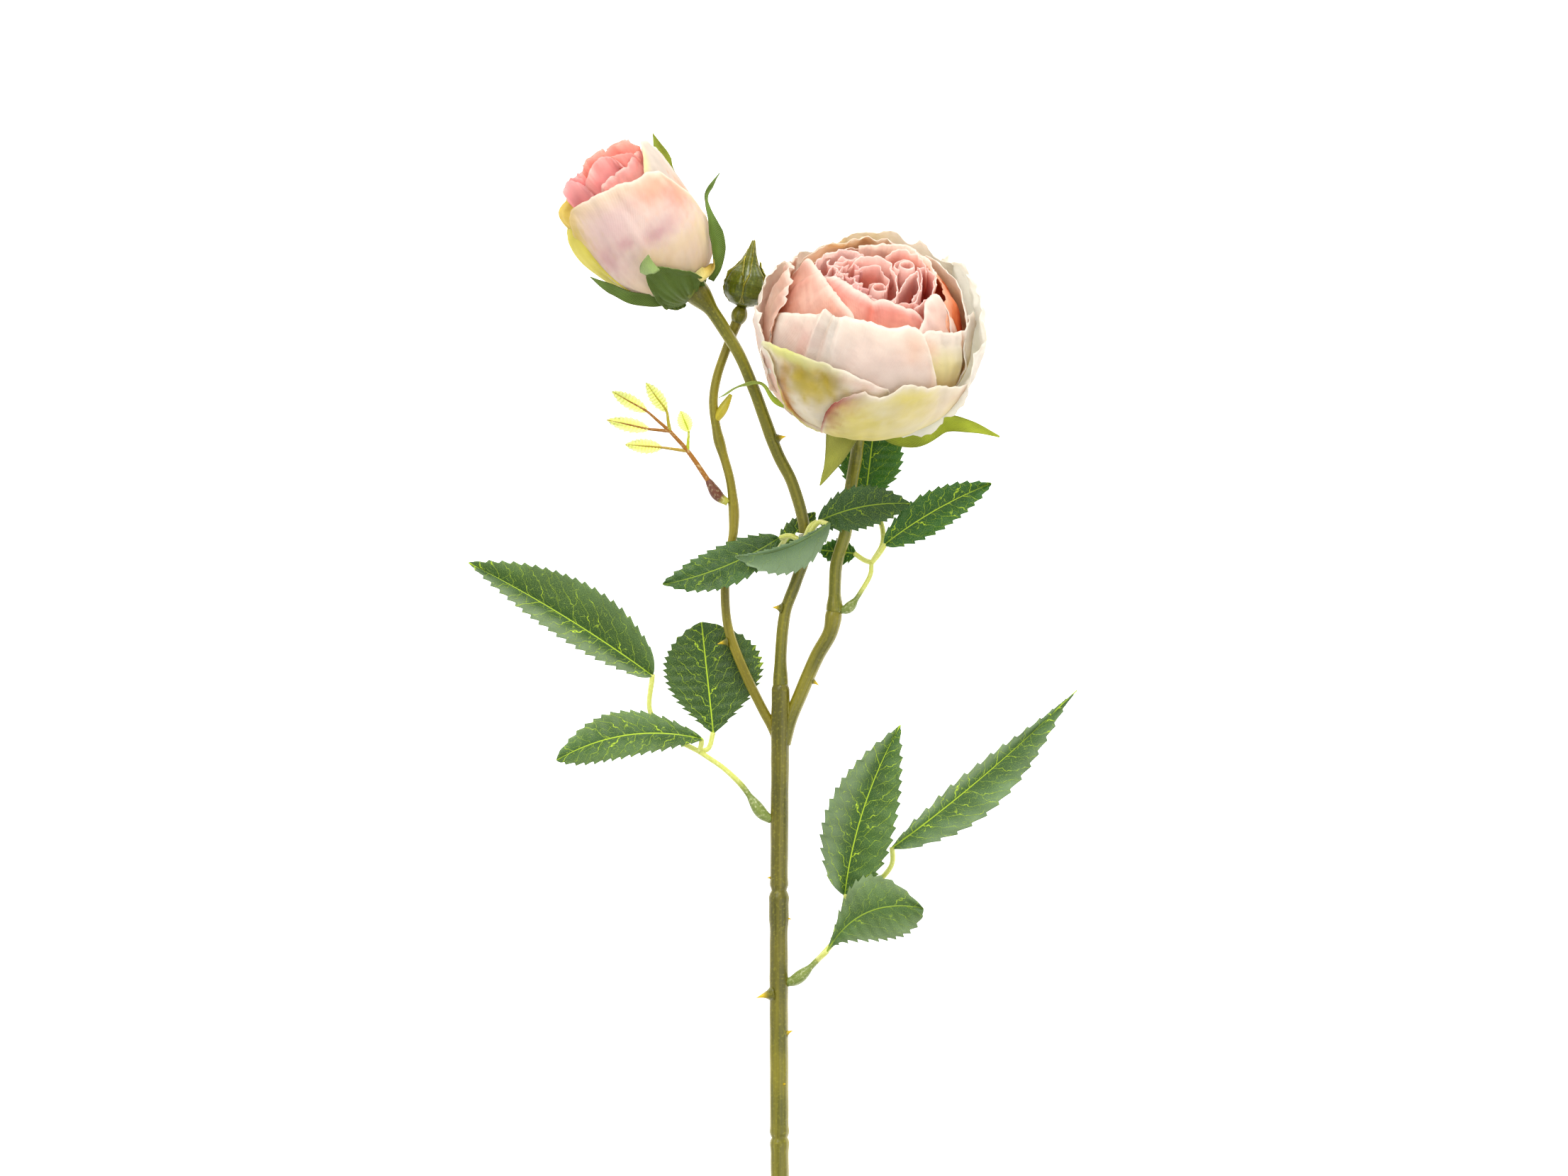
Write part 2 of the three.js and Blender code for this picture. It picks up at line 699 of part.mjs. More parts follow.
const collarTop = collarInside + collarWall + clearance + petiolePlastic;
const middleHub = collarPoint.clone().add(point(-0.6, -0.4, collarTop));
const middleLeaves = [
  { base: point(-0.6, 48.4, 14.4), tip: point(-39, 33, 16), width: 15, bow: -2, arch: 1.5, roll: -18 },
  { base: point(16, 53, 21.4), tip: point(-14.8, 42.2, 20.5), width: 12, bow: 2, arch: 1, roll: 25 },
  { base: point(-0.6, 44.6, 8.6), tip: point(11.6, 57, 7.4), width: 9 },
  { base: point(12.6, 54, 16.6), tip: point(43, 59.8, 18), width: 15, bow: -2, arch: 1.5, roll: -8 },
];
addSpray(
  "middle",
  [
    stalkTo(middleLeaves[0].base, middleHub, point(3, 49.2, 15.6)),
    stalkTo(middleLeaves[3].base, middleHub, point(10, 52.4, 16.9)),
    stalkTo(middleLeaves[1].base, middleHub, point(12.6, 53.6, 18.2)),
    stalkTo(middleLeaves[2].base, middleHub, point(3, 49.2, 15.6), point(0.6, 46.4, 11.4)),
  ],
  middleLeaves,
);

// Upper spray, at the joint of the right branch. Its second leaflet lies under the branch and the bloom.
const upperHub = point(30.3, 40.3, 10.6);
const upperLeaves = [
  { base: point(34.6, 46.4, 12), tip: point(70, 66.6, 14), width: 14, bow: -1.5, arch: 1.5, fold: 10 },
  { base: point(28.4, 62.4, 4.6), tip: point(32, 92, 3.4), width: 22 },
  { base: point(25, 43.4, 7), tip: point(12.8, 44.6, 6.4), width: 9 },
];
addSpray(
  "upper",
  [
    taperedRod(
      sheathRadius * 0.8,
      petiolePlastic,
      rightJoint.clone().add(point(rightBranchRadius * 1.2 + sheathRadius * 0.8 + clearance, 0.4, 0.6)),
      point(27.3, 31.6, 10.8),
      point(29.9, 36.5, 10.8),
      upperHub,
    ),
    stalkTo(upperLeaves[0].base, upperHub, point(33, 43.6, 11.2)),
    stalkTo(upperLeaves[2].base, upperHub, point(27.8, 41.2, 8.6)),
    stalkTo(upperLeaves[1].base, upperHub, point(34, 47, 8), point(33.4, 54, 6)),
  ],
  upperLeaves,
);

// ---- Young sprig on the left branch ------------------------------------------------------------------

const sprigRadius = 0.7;
const sprigLeafWidth = 5.4;
const sprigFork = point(-30.8, 77.4, 10.4);
const sprigTop = point(-36.7, 84, 10.8);
const sprigLeaves = [
  // where its stalk starts, base, tip
  [sprigTop, point(-44.4, 90.6, 11.4), point(-55.9, 97.1, 12.4)],
  [sprigTop, point(-37.8, 90.6, 11.6), point(-44.6, 100, 13)],
  [sprigTop, point(-43.7, 84.7, 10.8), point(-57.6, 87.7, 11.6)],
  [sprigFork, point(-39.5, 78.6, 10.2), point(-51.5, 79.5, 10.6)],
  [sprigFork, point(-30.5, 84, 11), point(-33.1, 90.6, 12)],
];
addPiece(
  "young_sprig",
  moulded(
    taperedRod(
      1.5,
      1.9,
      point(-18.3 - clearance, 60.4, 9.8),
      point(-20.6, 62.4, 9.9),
      point(-24.7, 68.7, 10.1),
    ),
    taperedRod(1.3, sprigRadius, point(-23.6, 67, 10.1), sprigFork, sprigTop),
    ...sprigLeaves.map(([start, base, tip]) => {
      const tipwards = tip.clone().sub(base).setLength(2);
      return evenRod(sprigRadius, start, start.clone().lerp(base, 0.5), base.clone().add(tipwards));
    }),
    ...sprigLeaves.map(([, base, tip]) => leaflet({ base, tip, width: sprigLeafWidth }, [4, 2])),
  ),
  sprigYellow,
);

// ---- The whole spray, standing on the middle of its underside ----------------------------------------

const box = new THREE.Box3().setFromObject(rose);
const middle = box.getCenter(new THREE.Vector3());
rose.position.set(-middle.x, -middle.y, -box.min.z);

const part = new THREE.Group();
part.add(rose);
export default part;
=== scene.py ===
"""The looks of an artificial rose spray that lies on a pale surface.

Petals, sepals and leaflets are thin curved sheets of printed fabric, the rest is moulded plastic.
Lengths are millimetres from the fork of the stem, as in the CAD model. world() makes them the frame's metres.
"""

import math

import bpy
import numpy as np
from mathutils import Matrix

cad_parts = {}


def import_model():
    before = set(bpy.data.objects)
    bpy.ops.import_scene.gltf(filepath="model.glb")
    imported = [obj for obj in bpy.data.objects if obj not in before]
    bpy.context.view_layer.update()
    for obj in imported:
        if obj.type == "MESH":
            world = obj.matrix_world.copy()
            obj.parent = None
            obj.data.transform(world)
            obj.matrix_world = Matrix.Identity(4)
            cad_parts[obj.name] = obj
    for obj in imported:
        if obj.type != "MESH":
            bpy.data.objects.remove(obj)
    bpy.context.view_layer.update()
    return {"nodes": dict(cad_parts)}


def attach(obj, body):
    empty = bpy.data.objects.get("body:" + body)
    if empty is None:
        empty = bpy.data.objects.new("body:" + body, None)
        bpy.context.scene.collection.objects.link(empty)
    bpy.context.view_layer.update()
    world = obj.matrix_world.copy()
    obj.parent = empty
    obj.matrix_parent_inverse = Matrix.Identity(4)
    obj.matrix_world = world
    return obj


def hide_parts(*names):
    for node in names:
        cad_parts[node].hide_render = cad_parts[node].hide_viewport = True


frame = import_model()

# ---- Where the drawing's origin is in the frame ---------------------------------------------------------

STEM_LENGTH = 318.0
STEM_RADIUS = 3.0
stem_points = np.array([v.co[:] for v in frame["nodes"]["main_stem"].data.vertices])
cut_ring = stem_points[stem_points[:, 1] < stem_points[:, 1].min() + 0.0005]
ORIGIN = cut_ring.mean(axis=0) + np.array([0.0, STEM_LENGTH, -STEM_RADIUS]) / 1000


def world(points):
    return ORIGIN + np.asarray(points, float) / 1000


# ---- Small tools ----------------------------------------------------------------------------------------


def linear(hexa):
    """An sRGB colour such as 0xf0d0c0 as linear red, green and blue."""
    srgb = np.array([(hexa >> 16) & 255, (hexa >> 8) & 255, hexa & 255]) / 255
    return np.where(srgb <= 0.04045, srgb / 12.92, ((srgb + 0.055) / 1.055) ** 2.4)


def smooth(low, high, x):
    t = np.clip((np.asarray(x, float) - low) / (high - low), 0, 1)
    return t * t * (3 - 2 * t)


def hill(x, middle, width):
    """A bell curve of height 1."""
    return np.exp(-(((x - middle) / width) ** 2))


def waves(seed, x, y, length, count=7):
    """Smooth random waves over x and y with about this wavelength, from -1 to 1."""
    rng = np.random.default_rng(seed)
    total = np.zeros(np.broadcast(x, y).shape)
    for _ in range(count):
        angle = rng.uniform(0, 2 * math.pi)
        k = 2 * math.pi / (length * rng.uniform(0.6, 1.6))
        phase = rng.uniform(0, 2 * math.pi)
        total = total + np.sin(k * (x * math.cos(angle) + y * math.sin(angle)) + phase)
    return total / math.sqrt(count * 1.5)


def curve_through(points, spacing):
    """Evenly spaced points on a centripetal Catmull-Rom curve through these, and their distances along it."""
    p = np.asarray(points, float)
    p = np.vstack([2 * p[0] - p[1], p, 2 * p[-1] - p[-2]])
    fine = []
    for i in range(1, len(p) - 2):
        p0, p1, p2, p3 = p[i - 1 : i + 3]
        t = np.cumsum(
            [0.0] + [max(np.linalg.norm(b - a), 1e-9) ** 0.5 for a, b in ((p0, p1), (p1, p2), (p2, p3))],
        )
        s = np.linspace(t[1], t[2], 24, endpoint=i == len(p) - 3)[:, None]
        a1 = (t[1] - s) / (t[1] - t[0]) * p0 + (s - t[0]) / (t[1] - t[0]) * p1
        a2 = (t[2] - s) / (t[2] - t[1]) * p1 + (s - t[1]) / (t[2] - t[1]) * p2
        a3 = (t[3] - s) / (t[3] - t[2]) * p2 + (s - t[2]) / (t[3] - t[2]) * p3
        b1 = (t[2] - s) / (t[2] - t[0]) * a1 + (s - t[0]) / (t[2] - t[0]) * a2
        b2 = (t[3] - s) / (t[3] - t[1]) * a2 + (s - t[1]) / (t[3] - t[1]) * a3
        fine.append((t[2] - s) / (t[2] - t[1]) * b1 + (s - t[1]) / (t[2] - t[1]) * b2)
    fine = np.vstack(fine)
    run = np.concatenate([[0], np.cumsum(np.linalg.norm(np.diff(fine, axis=0), axis=1))])
    count = max(2, int(round(run[-1] / spacing)) + 1)
    even = np.linspace(0, run[-1], count)
    return np.stack([np.interp(even, run, fine[:, k]) for k in range(fine.shape[1])], axis=1), even


def unit(v):
    v = np.asarray(v, float)
    return v / np.maximum(np.linalg.norm(v, axis=-1, keepdims=True), 1e-12)


class Shape:
    """Vertices, faces, colours and flat coordinates, gathered from several sheets and tubes."""

    def __init__(self):
        self.vertices, self.faces, self.colours, self.uvs = [], [], [], []

    def add(self, vertices, faces, colours, uvs):
        start = sum(len(v) for v in self.vertices)
        self.vertices.append(np.asarray(vertices, float))
        self.faces.extend([tuple(start + i for i in f) for f in faces])
        self.colours.append(np.asarray(colours, float))
        self.uvs.append(np.asarray(uvs, float))

    def join(self, other):
        self.add(np.vstack(other.vertices), other.faces, np.vstack(other.colours), np.vstack(other.uvs))

    def sheet(self, middle, front, back, uv, thickness=0.35, edge=0.5):
        """A thin sheet about a grid of points, front and back in their own colours and thinner at its edge."""
        rows, columns = middle.shape[:2]
        down = np.gradient(middle, axis=0)
        across = np.gradient(middle, axis=1)
        normal = unit(np.cross(across, down))
        u = np.linspace(0, 1, rows)[:, None]
        v = np.abs(np.linspace(-1, 1, columns))[None, :]
        half = thickness / 2 * (1 - (1 - edge) * np.maximum(smooth(0.9, 1, u), smooth(0.9, 1, v)))[..., None]
        layers = np.concatenate(
            [(middle + normal * half).reshape(-1, 3), (middle - normal * half).reshape(-1, 3)],
        )
        n = rows * columns
        ids = np.arange(n).reshape(rows, columns)
        a, b, c, d = ids[:-1, :-1], ids[1:, :-1], ids[1:, 1:], ids[:-1, 1:]
        top = np.stack([a, b, c, d], -1).reshape(-1, 4)
        low = np.stack([a, d, c, b], -1).reshape(-1, 4) + n
        loop = np.concatenate([ids[0, :], ids[1:, -1], ids[-1, -2::-1], ids[-2:0:-1, 0]])
        after = np.roll(loop, -1)
        rim = np.stack([loop, after, after + n, loop + n], -1)
        faces = np.concatenate([top, low, rim]).tolist()
        colours = np.concatenate([front.reshape(-1, 3), back.reshape(-1, 3)])
        flat = uv.reshape(-1, 2)
        self.add(layers, faces, colours, np.concatenate([flat, flat]))

    def tube(self, points, radius, colour, sides=28, ridges=0.0, seed=0, spacing=0.8):
        """A rod along a curve, with a radius(s, length), a colour(s, length, angle) and lengthwise ridges."""
        centre, run = curve_through(points, spacing)
        tangent = unit(np.gradient(centre, axis=0))
        side = np.zeros_like(centre)
        side[0] = unit(np.cross(tangent[0], [0.0, 0.0, 1.0]))
        for i in range(1, len(centre)):
            side[i] = unit(side[i - 1] - tangent[i] * (side[i - 1] @ tangent[i]))
        up = np.cross(side, tangent)
        angle = np.linspace(0, 2 * math.pi, sides, endpoint=False)[None, :]
        s = run[:, None]
        r = np.broadcast_to(np.asarray(radius(s, run[-1]), float), (len(run), sides)).copy()
        if ridges:
            drift = 0.5 * waves(seed, s, 0 * s, 45)
            r += ridges * (0.6 * np.cos(7 * angle + drift) + 0.4 * np.cos(12 * angle - 2 * drift + 1))
            r += 0.5 * ridges * waves(seed + 1, s, 3 * angle, 11)
        ring = centre[:, None] + r[..., None] * (
            np.cos(angle)[..., None] * side[:, None] + np.sin(angle)[..., None] * up[:, None]
        )
        count = len(run)
        ids = np.arange(count * sides).reshape(count, sides)
        nxt = np.roll(ids, -1, axis=1)
        walls = np.stack([ids[:-1], ids[1:], nxt[1:], nxt[:-1]], -1).reshape(-1, 4).tolist()
        first, last = count * sides, count * sides + 1
        caps = [(first, ids[0, k], nxt[0, k]) for k in range(sides)]
        caps += [(last, nxt[-1, k], ids[-1, k]) for k in range(sides)]
        colours = np.broadcast_to(colour(s, run[-1], angle), (count, sides, 3)).reshape(-1, 3)
        uv = np.stack(np.broadcast_arrays(s, angle / (2 * math.pi) * 20), -1).reshape(-1, 2)
        self.add(
            np.vstack([ring.reshape(-1, 3), centre[0], centre[-1]]),
            walls + caps,
            np.vstack([colours, colours[0], colours[-1]]),
            np.vstack([uv, uv[0], uv[-1]]),
        )

    def cone(self, base, direction, length, width, colour, tip_colour):
        """A thorn with a flared root and a slightly hooked tip."""
        direction = unit(direction)
        hook = np.array([0.0, -1.0, 0.0]) * 0.12 * length
        points = [base, base + direction * length * 0.5 + hook * 0.2, base + direction * length + hook]
        root, tip = linear(colour), linear(tip_colour)

        def radius(s, whole):
            t = s / whole
            return width * (0.72 * (1 - t) ** 1.15 + 0.5 * (1 - t) ** 5) + 0.06

        def shade(s, whole, angle):
            t = smooth(0.2, 0.7, s / whole)[..., None]
            return root * (1 - t) + tip * t + 0 * angle[..., None]

        self.tube(points, radius, shade, sides=12, spacing=length / 10)

    def piece(self, node, material, slot):
        """Makes the mesh object that stands for this CAD node."""
        name = node + ("_fabric" if slot.endswith("fabric") else "_moulding")
        vertices = world(np.vstack(self.vertices))
        mesh = bpy.data.meshes.new(name)
        mesh.from_pydata(vertices.tolist(), [], self.faces)
        colour = mesh.color_attributes.new("print", "FLOAT_COLOR", "POINT")
        rgba = np.ones((len(vertices), 4), np.float32)
        rgba[:, :3] = np.clip(np.vstack(self.colours), 0, 1)
        colour.data.foreach_set("color", rgba.ravel())
        layer = mesh.uv_layers.new(name="flat")
        loops = np.zeros(len(mesh.loops), np.int32)
        mesh.loops.foreach_get("vertex_index", loops)
        layer.data.foreach_set("uv", (np.vstack(self.uvs)[loops] / 100).astype(np.float32).ravel())
        mesh.shade_smooth()
        mesh.validate()
        mesh.materials.append(material)
        made = bpy.data.objects.new(name, mesh)
        bpy.context.scene.collection.objects.link(made)
        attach(made, "root")
        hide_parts(node)


# ---- Materials ------------------------------------------------------------------------------------------


class Nodes:
    """A short way to write a material's node tree."""

    def __init__(self, name):
        self.material = bpy.data.materials.new(name)
        self.material.use_nodes = True
        self.tree = self.material.node_tree
        self.shader = self.tree.nodes["Principled BSDF"]

    def put(self, socket, value):
        if isinstance(value, bpy.types.NodeSocket):
            self.tree.links.new(value, socket)
        elif hasattr(socket.default_value, "__len__") and not hasattr(value, "__len__"):
            socket.default_value = [value] * len(socket.default_value)
        else:
            socket.default_value = value

    def node(self, kind, settings=(), inputs=(), output=0):
        made = self.tree.nodes.new(kind)
        for key, value in dict(settings).items():
            setattr(made, key, value)
        for key, value in dict(inputs).items():
            self.put(made.inputs[key], value)
        return made.outputs[output]

    def maths(self, operation, *values):
        return self.node("ShaderNodeMath", {"operation": operation}, dict(enumerate(values)))

    def step(self, low, high, value):
        inputs = {"Value": value, "From Min": low, "From Max": high}
        return self.node("ShaderNodeMapRange", {"interpolation_type": "SMOOTHSTEP"}, inputs)

    def mix(self, factor, a, b, blend="MIX"):
        made = self.tree.nodes.new("ShaderNodeMix")
        made.data_type = "RGBA"
        made.blend_type = blend
        for i, value in ((0, factor), (6, a), (7, b)):
            self.put(made.inputs[i], value)
        return made.outputs[2]

    def colour(self, hexa):
        return (*linear(hexa), 1.0)

    def print(self):
        return self.node("ShaderNodeVertexColor", {"layer_name": "print"})

    def uv(self):
        """The flat coordinates in millimetres."""
        flat = self.node("ShaderNodeUVMap", {"uv_map": "flat"})
        return self.node("ShaderNodeVectorMath", {"operation": "SCALE"}, {0: flat, "Scale": 100.0})

    def noise(self, vector, scale, detail=2.0, output=0):
        inputs = {"Vector": vector, "Scale": scale, "Detail": detail}
        return self.node("ShaderNodeTexNoise", {}, inputs, output)

    def place(self):
        """The place on the object, in millimetres."""
        place = self.node("ShaderNodeTexCoord", output=3)
        return self.node("ShaderNodeVectorMath", {"operation": "SCALE"}, {0: place, "Scale": 1000.0})

    def twill(self, uv, pitch):
        """Diagonal ribs of a woven fabric, from 0 to 1."""
        wave = self.node(
            "ShaderNodeTexWave",
            {"bands_direction": "DIAGONAL"},
            {"Vector": uv, "Scale": 0.444 / pitch, "Distortion": 0.6, "Detail": 1.0, "Detail Scale": 1.5},
            1,
        )
        return wave

    def bump(self, height, distance, strength=1.0, normal=None):
        inputs = {"Height": height, "Distance": distance, "Strength": strength}
        if normal is not None:
            inputs["Normal"] = normal
        return self.node("ShaderNodeBump", {}, inputs)

    def finish(self, through=0.0, **inputs):
        """Sets the shader's inputs and lets a share of the light come through from behind."""
        for key, value in inputs.items():
            self.put(self.shader.inputs[key.replace("_", " ")], value)
        if through:
            back = self.node("ShaderNodeBsdfTranslucent", {}, {"Color": inputs["Base_Color"]})
            both = self.node("ShaderNodeMixShader", {}, {0: through, 1: self.shader.outputs[0], 2: back})
            self.put(self.tree.nodes["Material Output"].inputs["Surface"], both)
        return self.material


def petal_fabric(name, tint, through):
    """Printed petal fabric: a soft watercolour print over a fine twill."""
    m = Nodes(name)
    uv = m.uv()
    cloudy = m.step(0.35, 0.65, m.noise(uv, 0.16, 3.0))
    fine = m.noise(uv, 1.3, 2.0)
    base = m.mix(m.maths("MULTIPLY", cloudy, 0.35), m.print(), m.colour(0xFFF0E6), "SOFT_LIGHT")
    base = m.mix(0.06, base, m.mix(fine, m.colour(0xD9B8A8), m.colour(0xFFFFFF)), "MULTIPLY")
    base = m.mix(1.0, base, (*tint, 1.0), "MULTIPLY")
    rib = m.twill(uv, 0.6)
    weave = m.bump(rib, 0.00006, 0.5, m.bump(m.noise(uv, 0.35, 2.0), 0.0006, 0.35))
    return m.finish(
        Base_Color=base,
        Roughness=m.node("ShaderNodeMapRange", {}, {"Value": fine, "To Min": 0.5, "To Max": 0.72}),
        Normal=weave,
        Specular_IOR_Level=0.25,
        through=through,
    )


def sepal_fabric():
    """Thicker green fabric with a visible twill."""
    m = Nodes("sepal_fabric")
    uv = m.uv()
    speckle = m.noise(uv, 2.6, 2.0)
    base = m.mix(0.45, m.print(), m.mix(speckle, m.colour(0x747E30), m.colour(0xFFFFF0)), "MULTIPLY")
    rib = m.twill(uv, 0.5)
    return m.finish(
        Base_Color=m.mix(m.maths("MULTIPLY", rib, 0.16), base, m.colour(0xC8D068)),
        Roughness=0.6,
        Normal=m.bump(rib, 0.0001, 0.6),
        Specular_IOR_Level=0.3,
        through=0.2,
    )


def leaf_fabric(name, shown):
    """Leaf fabric printed with branching veins. The flat coordinates run along the midrib and across it."""
    m = Nodes(name)
    uv = m.uv()
    wander = m.noise(uv, 0.3, 2.0)
    split = m.tree.nodes.new("ShaderNodeSeparateXYZ")
    m.put(split.inputs[0], uv)
    along, across = split.outputs[0], split.outputs[1]
    off = m.maths("ABSOLUTE", across)
    shift = m.maths("MULTIPLY", m.maths("SUBTRACT", wander, 0.5), 6.0)
    side = m.maths("MULTIPLY", m.maths("GREATER_THAN", across, 0.0), 2.3)

    def veins(spacing, slope, bend, width, offset):
        """Repeated side veins that leave the midrib at a slant and curve towards the tip."""
        curve = m.maths("MULTIPLY", m.maths("MULTIPLY", off, off), bend)
        lean = m.maths("ADD", m.maths("MULTIPLY", off, slope), curve)
        moved = m.maths("ADD", shift, m.maths("ADD", side, offset))
        s = m.maths("ADD", m.maths("SUBTRACT", along, lean), moved)
        distance = m.maths(
            "ABSOLUTE", m.maths("SUBTRACT", m.maths("FRACT", m.maths("DIVIDE", s, spacing)), 0.5),
        )
        thin = m.maths("SUBTRACT", width, m.maths("MULTIPLY", off, 0.012))
        return m.maths("SUBTRACT", 1.0, m.step(0.0, m.maths("DIVIDE", thin, spacing), distance))

    taper = m.maths("SUBTRACT", 0.42, m.maths("MULTIPLY", along, 0.003))
    midrib = m.maths("SUBTRACT", 1.0, m.step(0.05, taper, off))
    main = veins(6.0, 0.95, 0.03, 0.3, 0.0)
    patchy = m.step(0.5, 0.62, m.noise(uv, 0.42, 1.0))
    second = m.maths("MULTIPLY", veins(3.1, -0.7, 0.02, 0.22, 1.0), patchy)
    patchy = m.step(0.48, 0.6, m.noise(uv, 0.55, 1.0))
    third = m.maths("MULTIPLY", veins(2.3, 1.9, -0.05, 0.2, 0.4), patchy)
    fade = m.step(0.42, 0.58, m.noise(uv, 0.12, 1.0))
    fade = m.maths("ADD", 0.35, m.maths("MULTIPLY", fade, 0.65))
    small = m.maths("MULTIPLY", m.maths("MAXIMUM", second, third), 0.55)
    vein = m.maths("MAXIMUM", m.maths("MULTIPLY", main, fade), small)
    vein = m.maths("MULTIPLY", vein, m.step(0.25, 0.8, m.maths("ADD", 0.3, m.noise(uv, 0.9, 2.0))))
    vein = m.maths("MAXIMUM", midrib, vein)
    grain = m.noise(uv, 3.2, 3.0)
    ground = m.mix(m.step(0.4, 0.66, grain), m.print(), m.mix(0.3, m.print(), m.colour(0x86A252)))
    near = m.maths("SUBTRACT", 1.0, m.step(0.0, 4.5, off))
    ground = m.mix(m.maths("MULTIPLY", near, 0.45), ground, m.mix(0.7, m.print(), m.colour(0x2C5212)))
    base = m.mix(m.maths("MULTIPLY", vein, shown), ground, m.colour(0xB9D630))
    rib = m.twill(uv, 0.55)
    relief = m.maths("SUBTRACT", m.maths("MULTIPLY", rib, 0.12), m.maths("MULTIPLY", vein, 0.8))
    return m.finish(
        Base_Color=base,
        Roughness=m.node("ShaderNodeMapRange", {}, {"Value": grain, "To Min": 0.42, "To Max": 0.62}),
        Normal=m.bump(relief, 0.0002, 0.7),
        Specular_IOR_Level=0.3,
    )


def stem_plastic(name, rough, coat, streak_dark, streak_light, weight):
    """Moulded plastic with fine lengthwise lines."""
    m = Nodes(name)
    uv = m.uv()
    stretched = m.node("ShaderNodeMapping", {}, {"Vector": uv, "Scale": (0.05, 1.6, 1.0)})
    streak = m.noise(stretched, 1.0, 3.0)
    speck = m.noise(m.place(), 1.1, 3.0)
    tint = m.mix(m.step(0.3, 0.7, streak), m.colour(streak_dark), m.colour(streak_light))
    base = m.mix(weight, m.print(), tint, "SOFT_LIGHT")
    base = m.mix(m.maths("MULTIPLY", m.step(0.5, 0.75, speck), 0.3), base, m.colour(streak_light))
    return m.finish(
        Base_Color=base,
        Roughness=m.node("ShaderNodeMapRange", {}, {"Value": speck, "To Min": rough, "To Max": rough + 0.2}),
        Normal=m.bump(m.maths("ADD", streak, m.maths("MULTIPLY", speck, 0.5)), 0.00025, 0.6),
        Specular_IOR_Level=0.3,
        Coat_Weight=coat,
        Coat_Roughness=0.15,
    )


def clear_plastic():
    m = Nodes("clear_plastic")
    return m.finish(
        Base_Color=m.mix(m.noise(m.place(), 0.6, 1.0), m.colour(0xF2F4E6), m.colour(0xDDE2C8)),
        Roughness=0.12,
        Transmission_Weight=0.8,
        IOR=1.45,
        Normal=m.bump(m.noise(m.place(), 0.5, 1.0), 0.0004, 0.5),
    )


PETAL = petal_fabric("pale_petal_fabric", (0.925, 0.94, 0.925), 0.45)
PINK = petal_fabric("pink_petal_fabric", (1.0, 1.0, 1.0), 0.62)
SEPAL = sepal_fabric()
LEAF = leaf_fabric("leaf_fabric", 0.85)
LEAF_FAINT = leaf_fabric("leaf_fabric_faint", 0.42)
LEAF_BACK = leaf_fabric("leaf_fabric_back", 0.12)
STEM = stem_plastic("stem_plastic", 0.3, 0.22, 0x42440A, 0x9C9628, 0.5)
STALK = stem_plastic("stalk_plastic", 0.3, 0.2, 0x9AA840, 0xF4F2C0, 0.4)
BUD = stem_plastic("bud_plastic", 0.2, 0.35, 0x2C3602, 0x94962C, 0.45)
SPRIG = stem_plastic("sprig_plastic", 0.35, 0.15, 0x9A9440, 0xE8E4B0, 0.3)
CLEAR = clear_plastic()

# ---- Stems ----------------------------------------------------------------------------------------------

OLIVE = 0x66640C
OLIVE_PALE = 0x7C7618
THORN_YELLOW = 0xE0C21E


def stem_shade(dark=OLIVE, pale=OLIVE_PALE, seed=1):
    """Olive green that shifts slowly along the stem, with painted highlight lines on it and painted rim light on
    its two sides.
    """

    def shade(s, length, angle):
        mix = smooth(-0.9, 0.9, waves(seed, s, 6 * np.cos(angle), 26))[..., None]
        # painted highlight: three paler lines wind along the rod
        painted_highlight_line = smooth(0.6, 1.0, np.cos(3 * angle + 0.02 * s + seed))[..., None] * 0.4
        # painted rim light: the rod's two sides are painted paler yellow
        painted_rim_light = smooth(0.72, 1.0, np.abs(np.cos(angle)))[..., None] * 0.55
        base = linear(dark) * (1 - mix) + linear(pale) * mix
        base = base * (1 - painted_highlight_line) + linear(0x9C9436) * painted_highlight_line
        return base * (1 - painted_rim_light) + linear(0xA89A20) * painted_rim_light

    return shade


def even(value):
    return lambda s, length: value + 0 * s


def flat_shade(hexa):
    return lambda s, length, angle: linear(hexa) + 0 * s[..., None] + 0 * angle[..., None]


STEM_CURVE = [
    (0, -STEM_LENGTH, STEM_RADIUS), (0, -0.66 * STEM_LENGTH, 5.04), (-0.6, -0.3 * STEM_LENGTH, 7.2),
    (0, 0, 9),
]
# How far below the fork the moulded joints are.
JOINTS = [68.5, 151.0, 233.5]


def stem_at(below):
    """Centre of the main stem at a distance below the fork."""
    points, run = curve_through(STEM_CURVE, 1.0)
    return np.array([np.interp(run[-1] - below, run, points[:, k]) for k in range(3)])


def main_stem_radius(s, length):
    below = length - s
    r = STEM_RADIUS * (1 + 0.03 * waves(5, s, 0 * s, 60))
    for joint in JOINTS:
        gap = below - joint
        r = r - 0.5 * hill(gap, 0, 0.7) + 0.22 * hill(gap, 2.2, 1.6)
        r = r + 0.16 * hill(gap, -2.0, 1.3)
    r = r + 0.34 * smooth(0, 2, below - JOINTS[0] - 1) * (1 - smooth(9, 14, below - JOINTS[0]))
    r = r + 0.18 * hill(below, 15, 6)
    return r * (1 - 0.12 * (1 - smooth(0.0, 0.8, s))) * (1 - 0.2 * (1 - smooth(0, 1.5, below)))


def main_stem_shade(s, length, angle):
    """A little darker towards the fork."""
    return stem_shade(seed=3)(s, length, angle) * (1 - 0.3 * smooth(180, 240, s))[..., None]


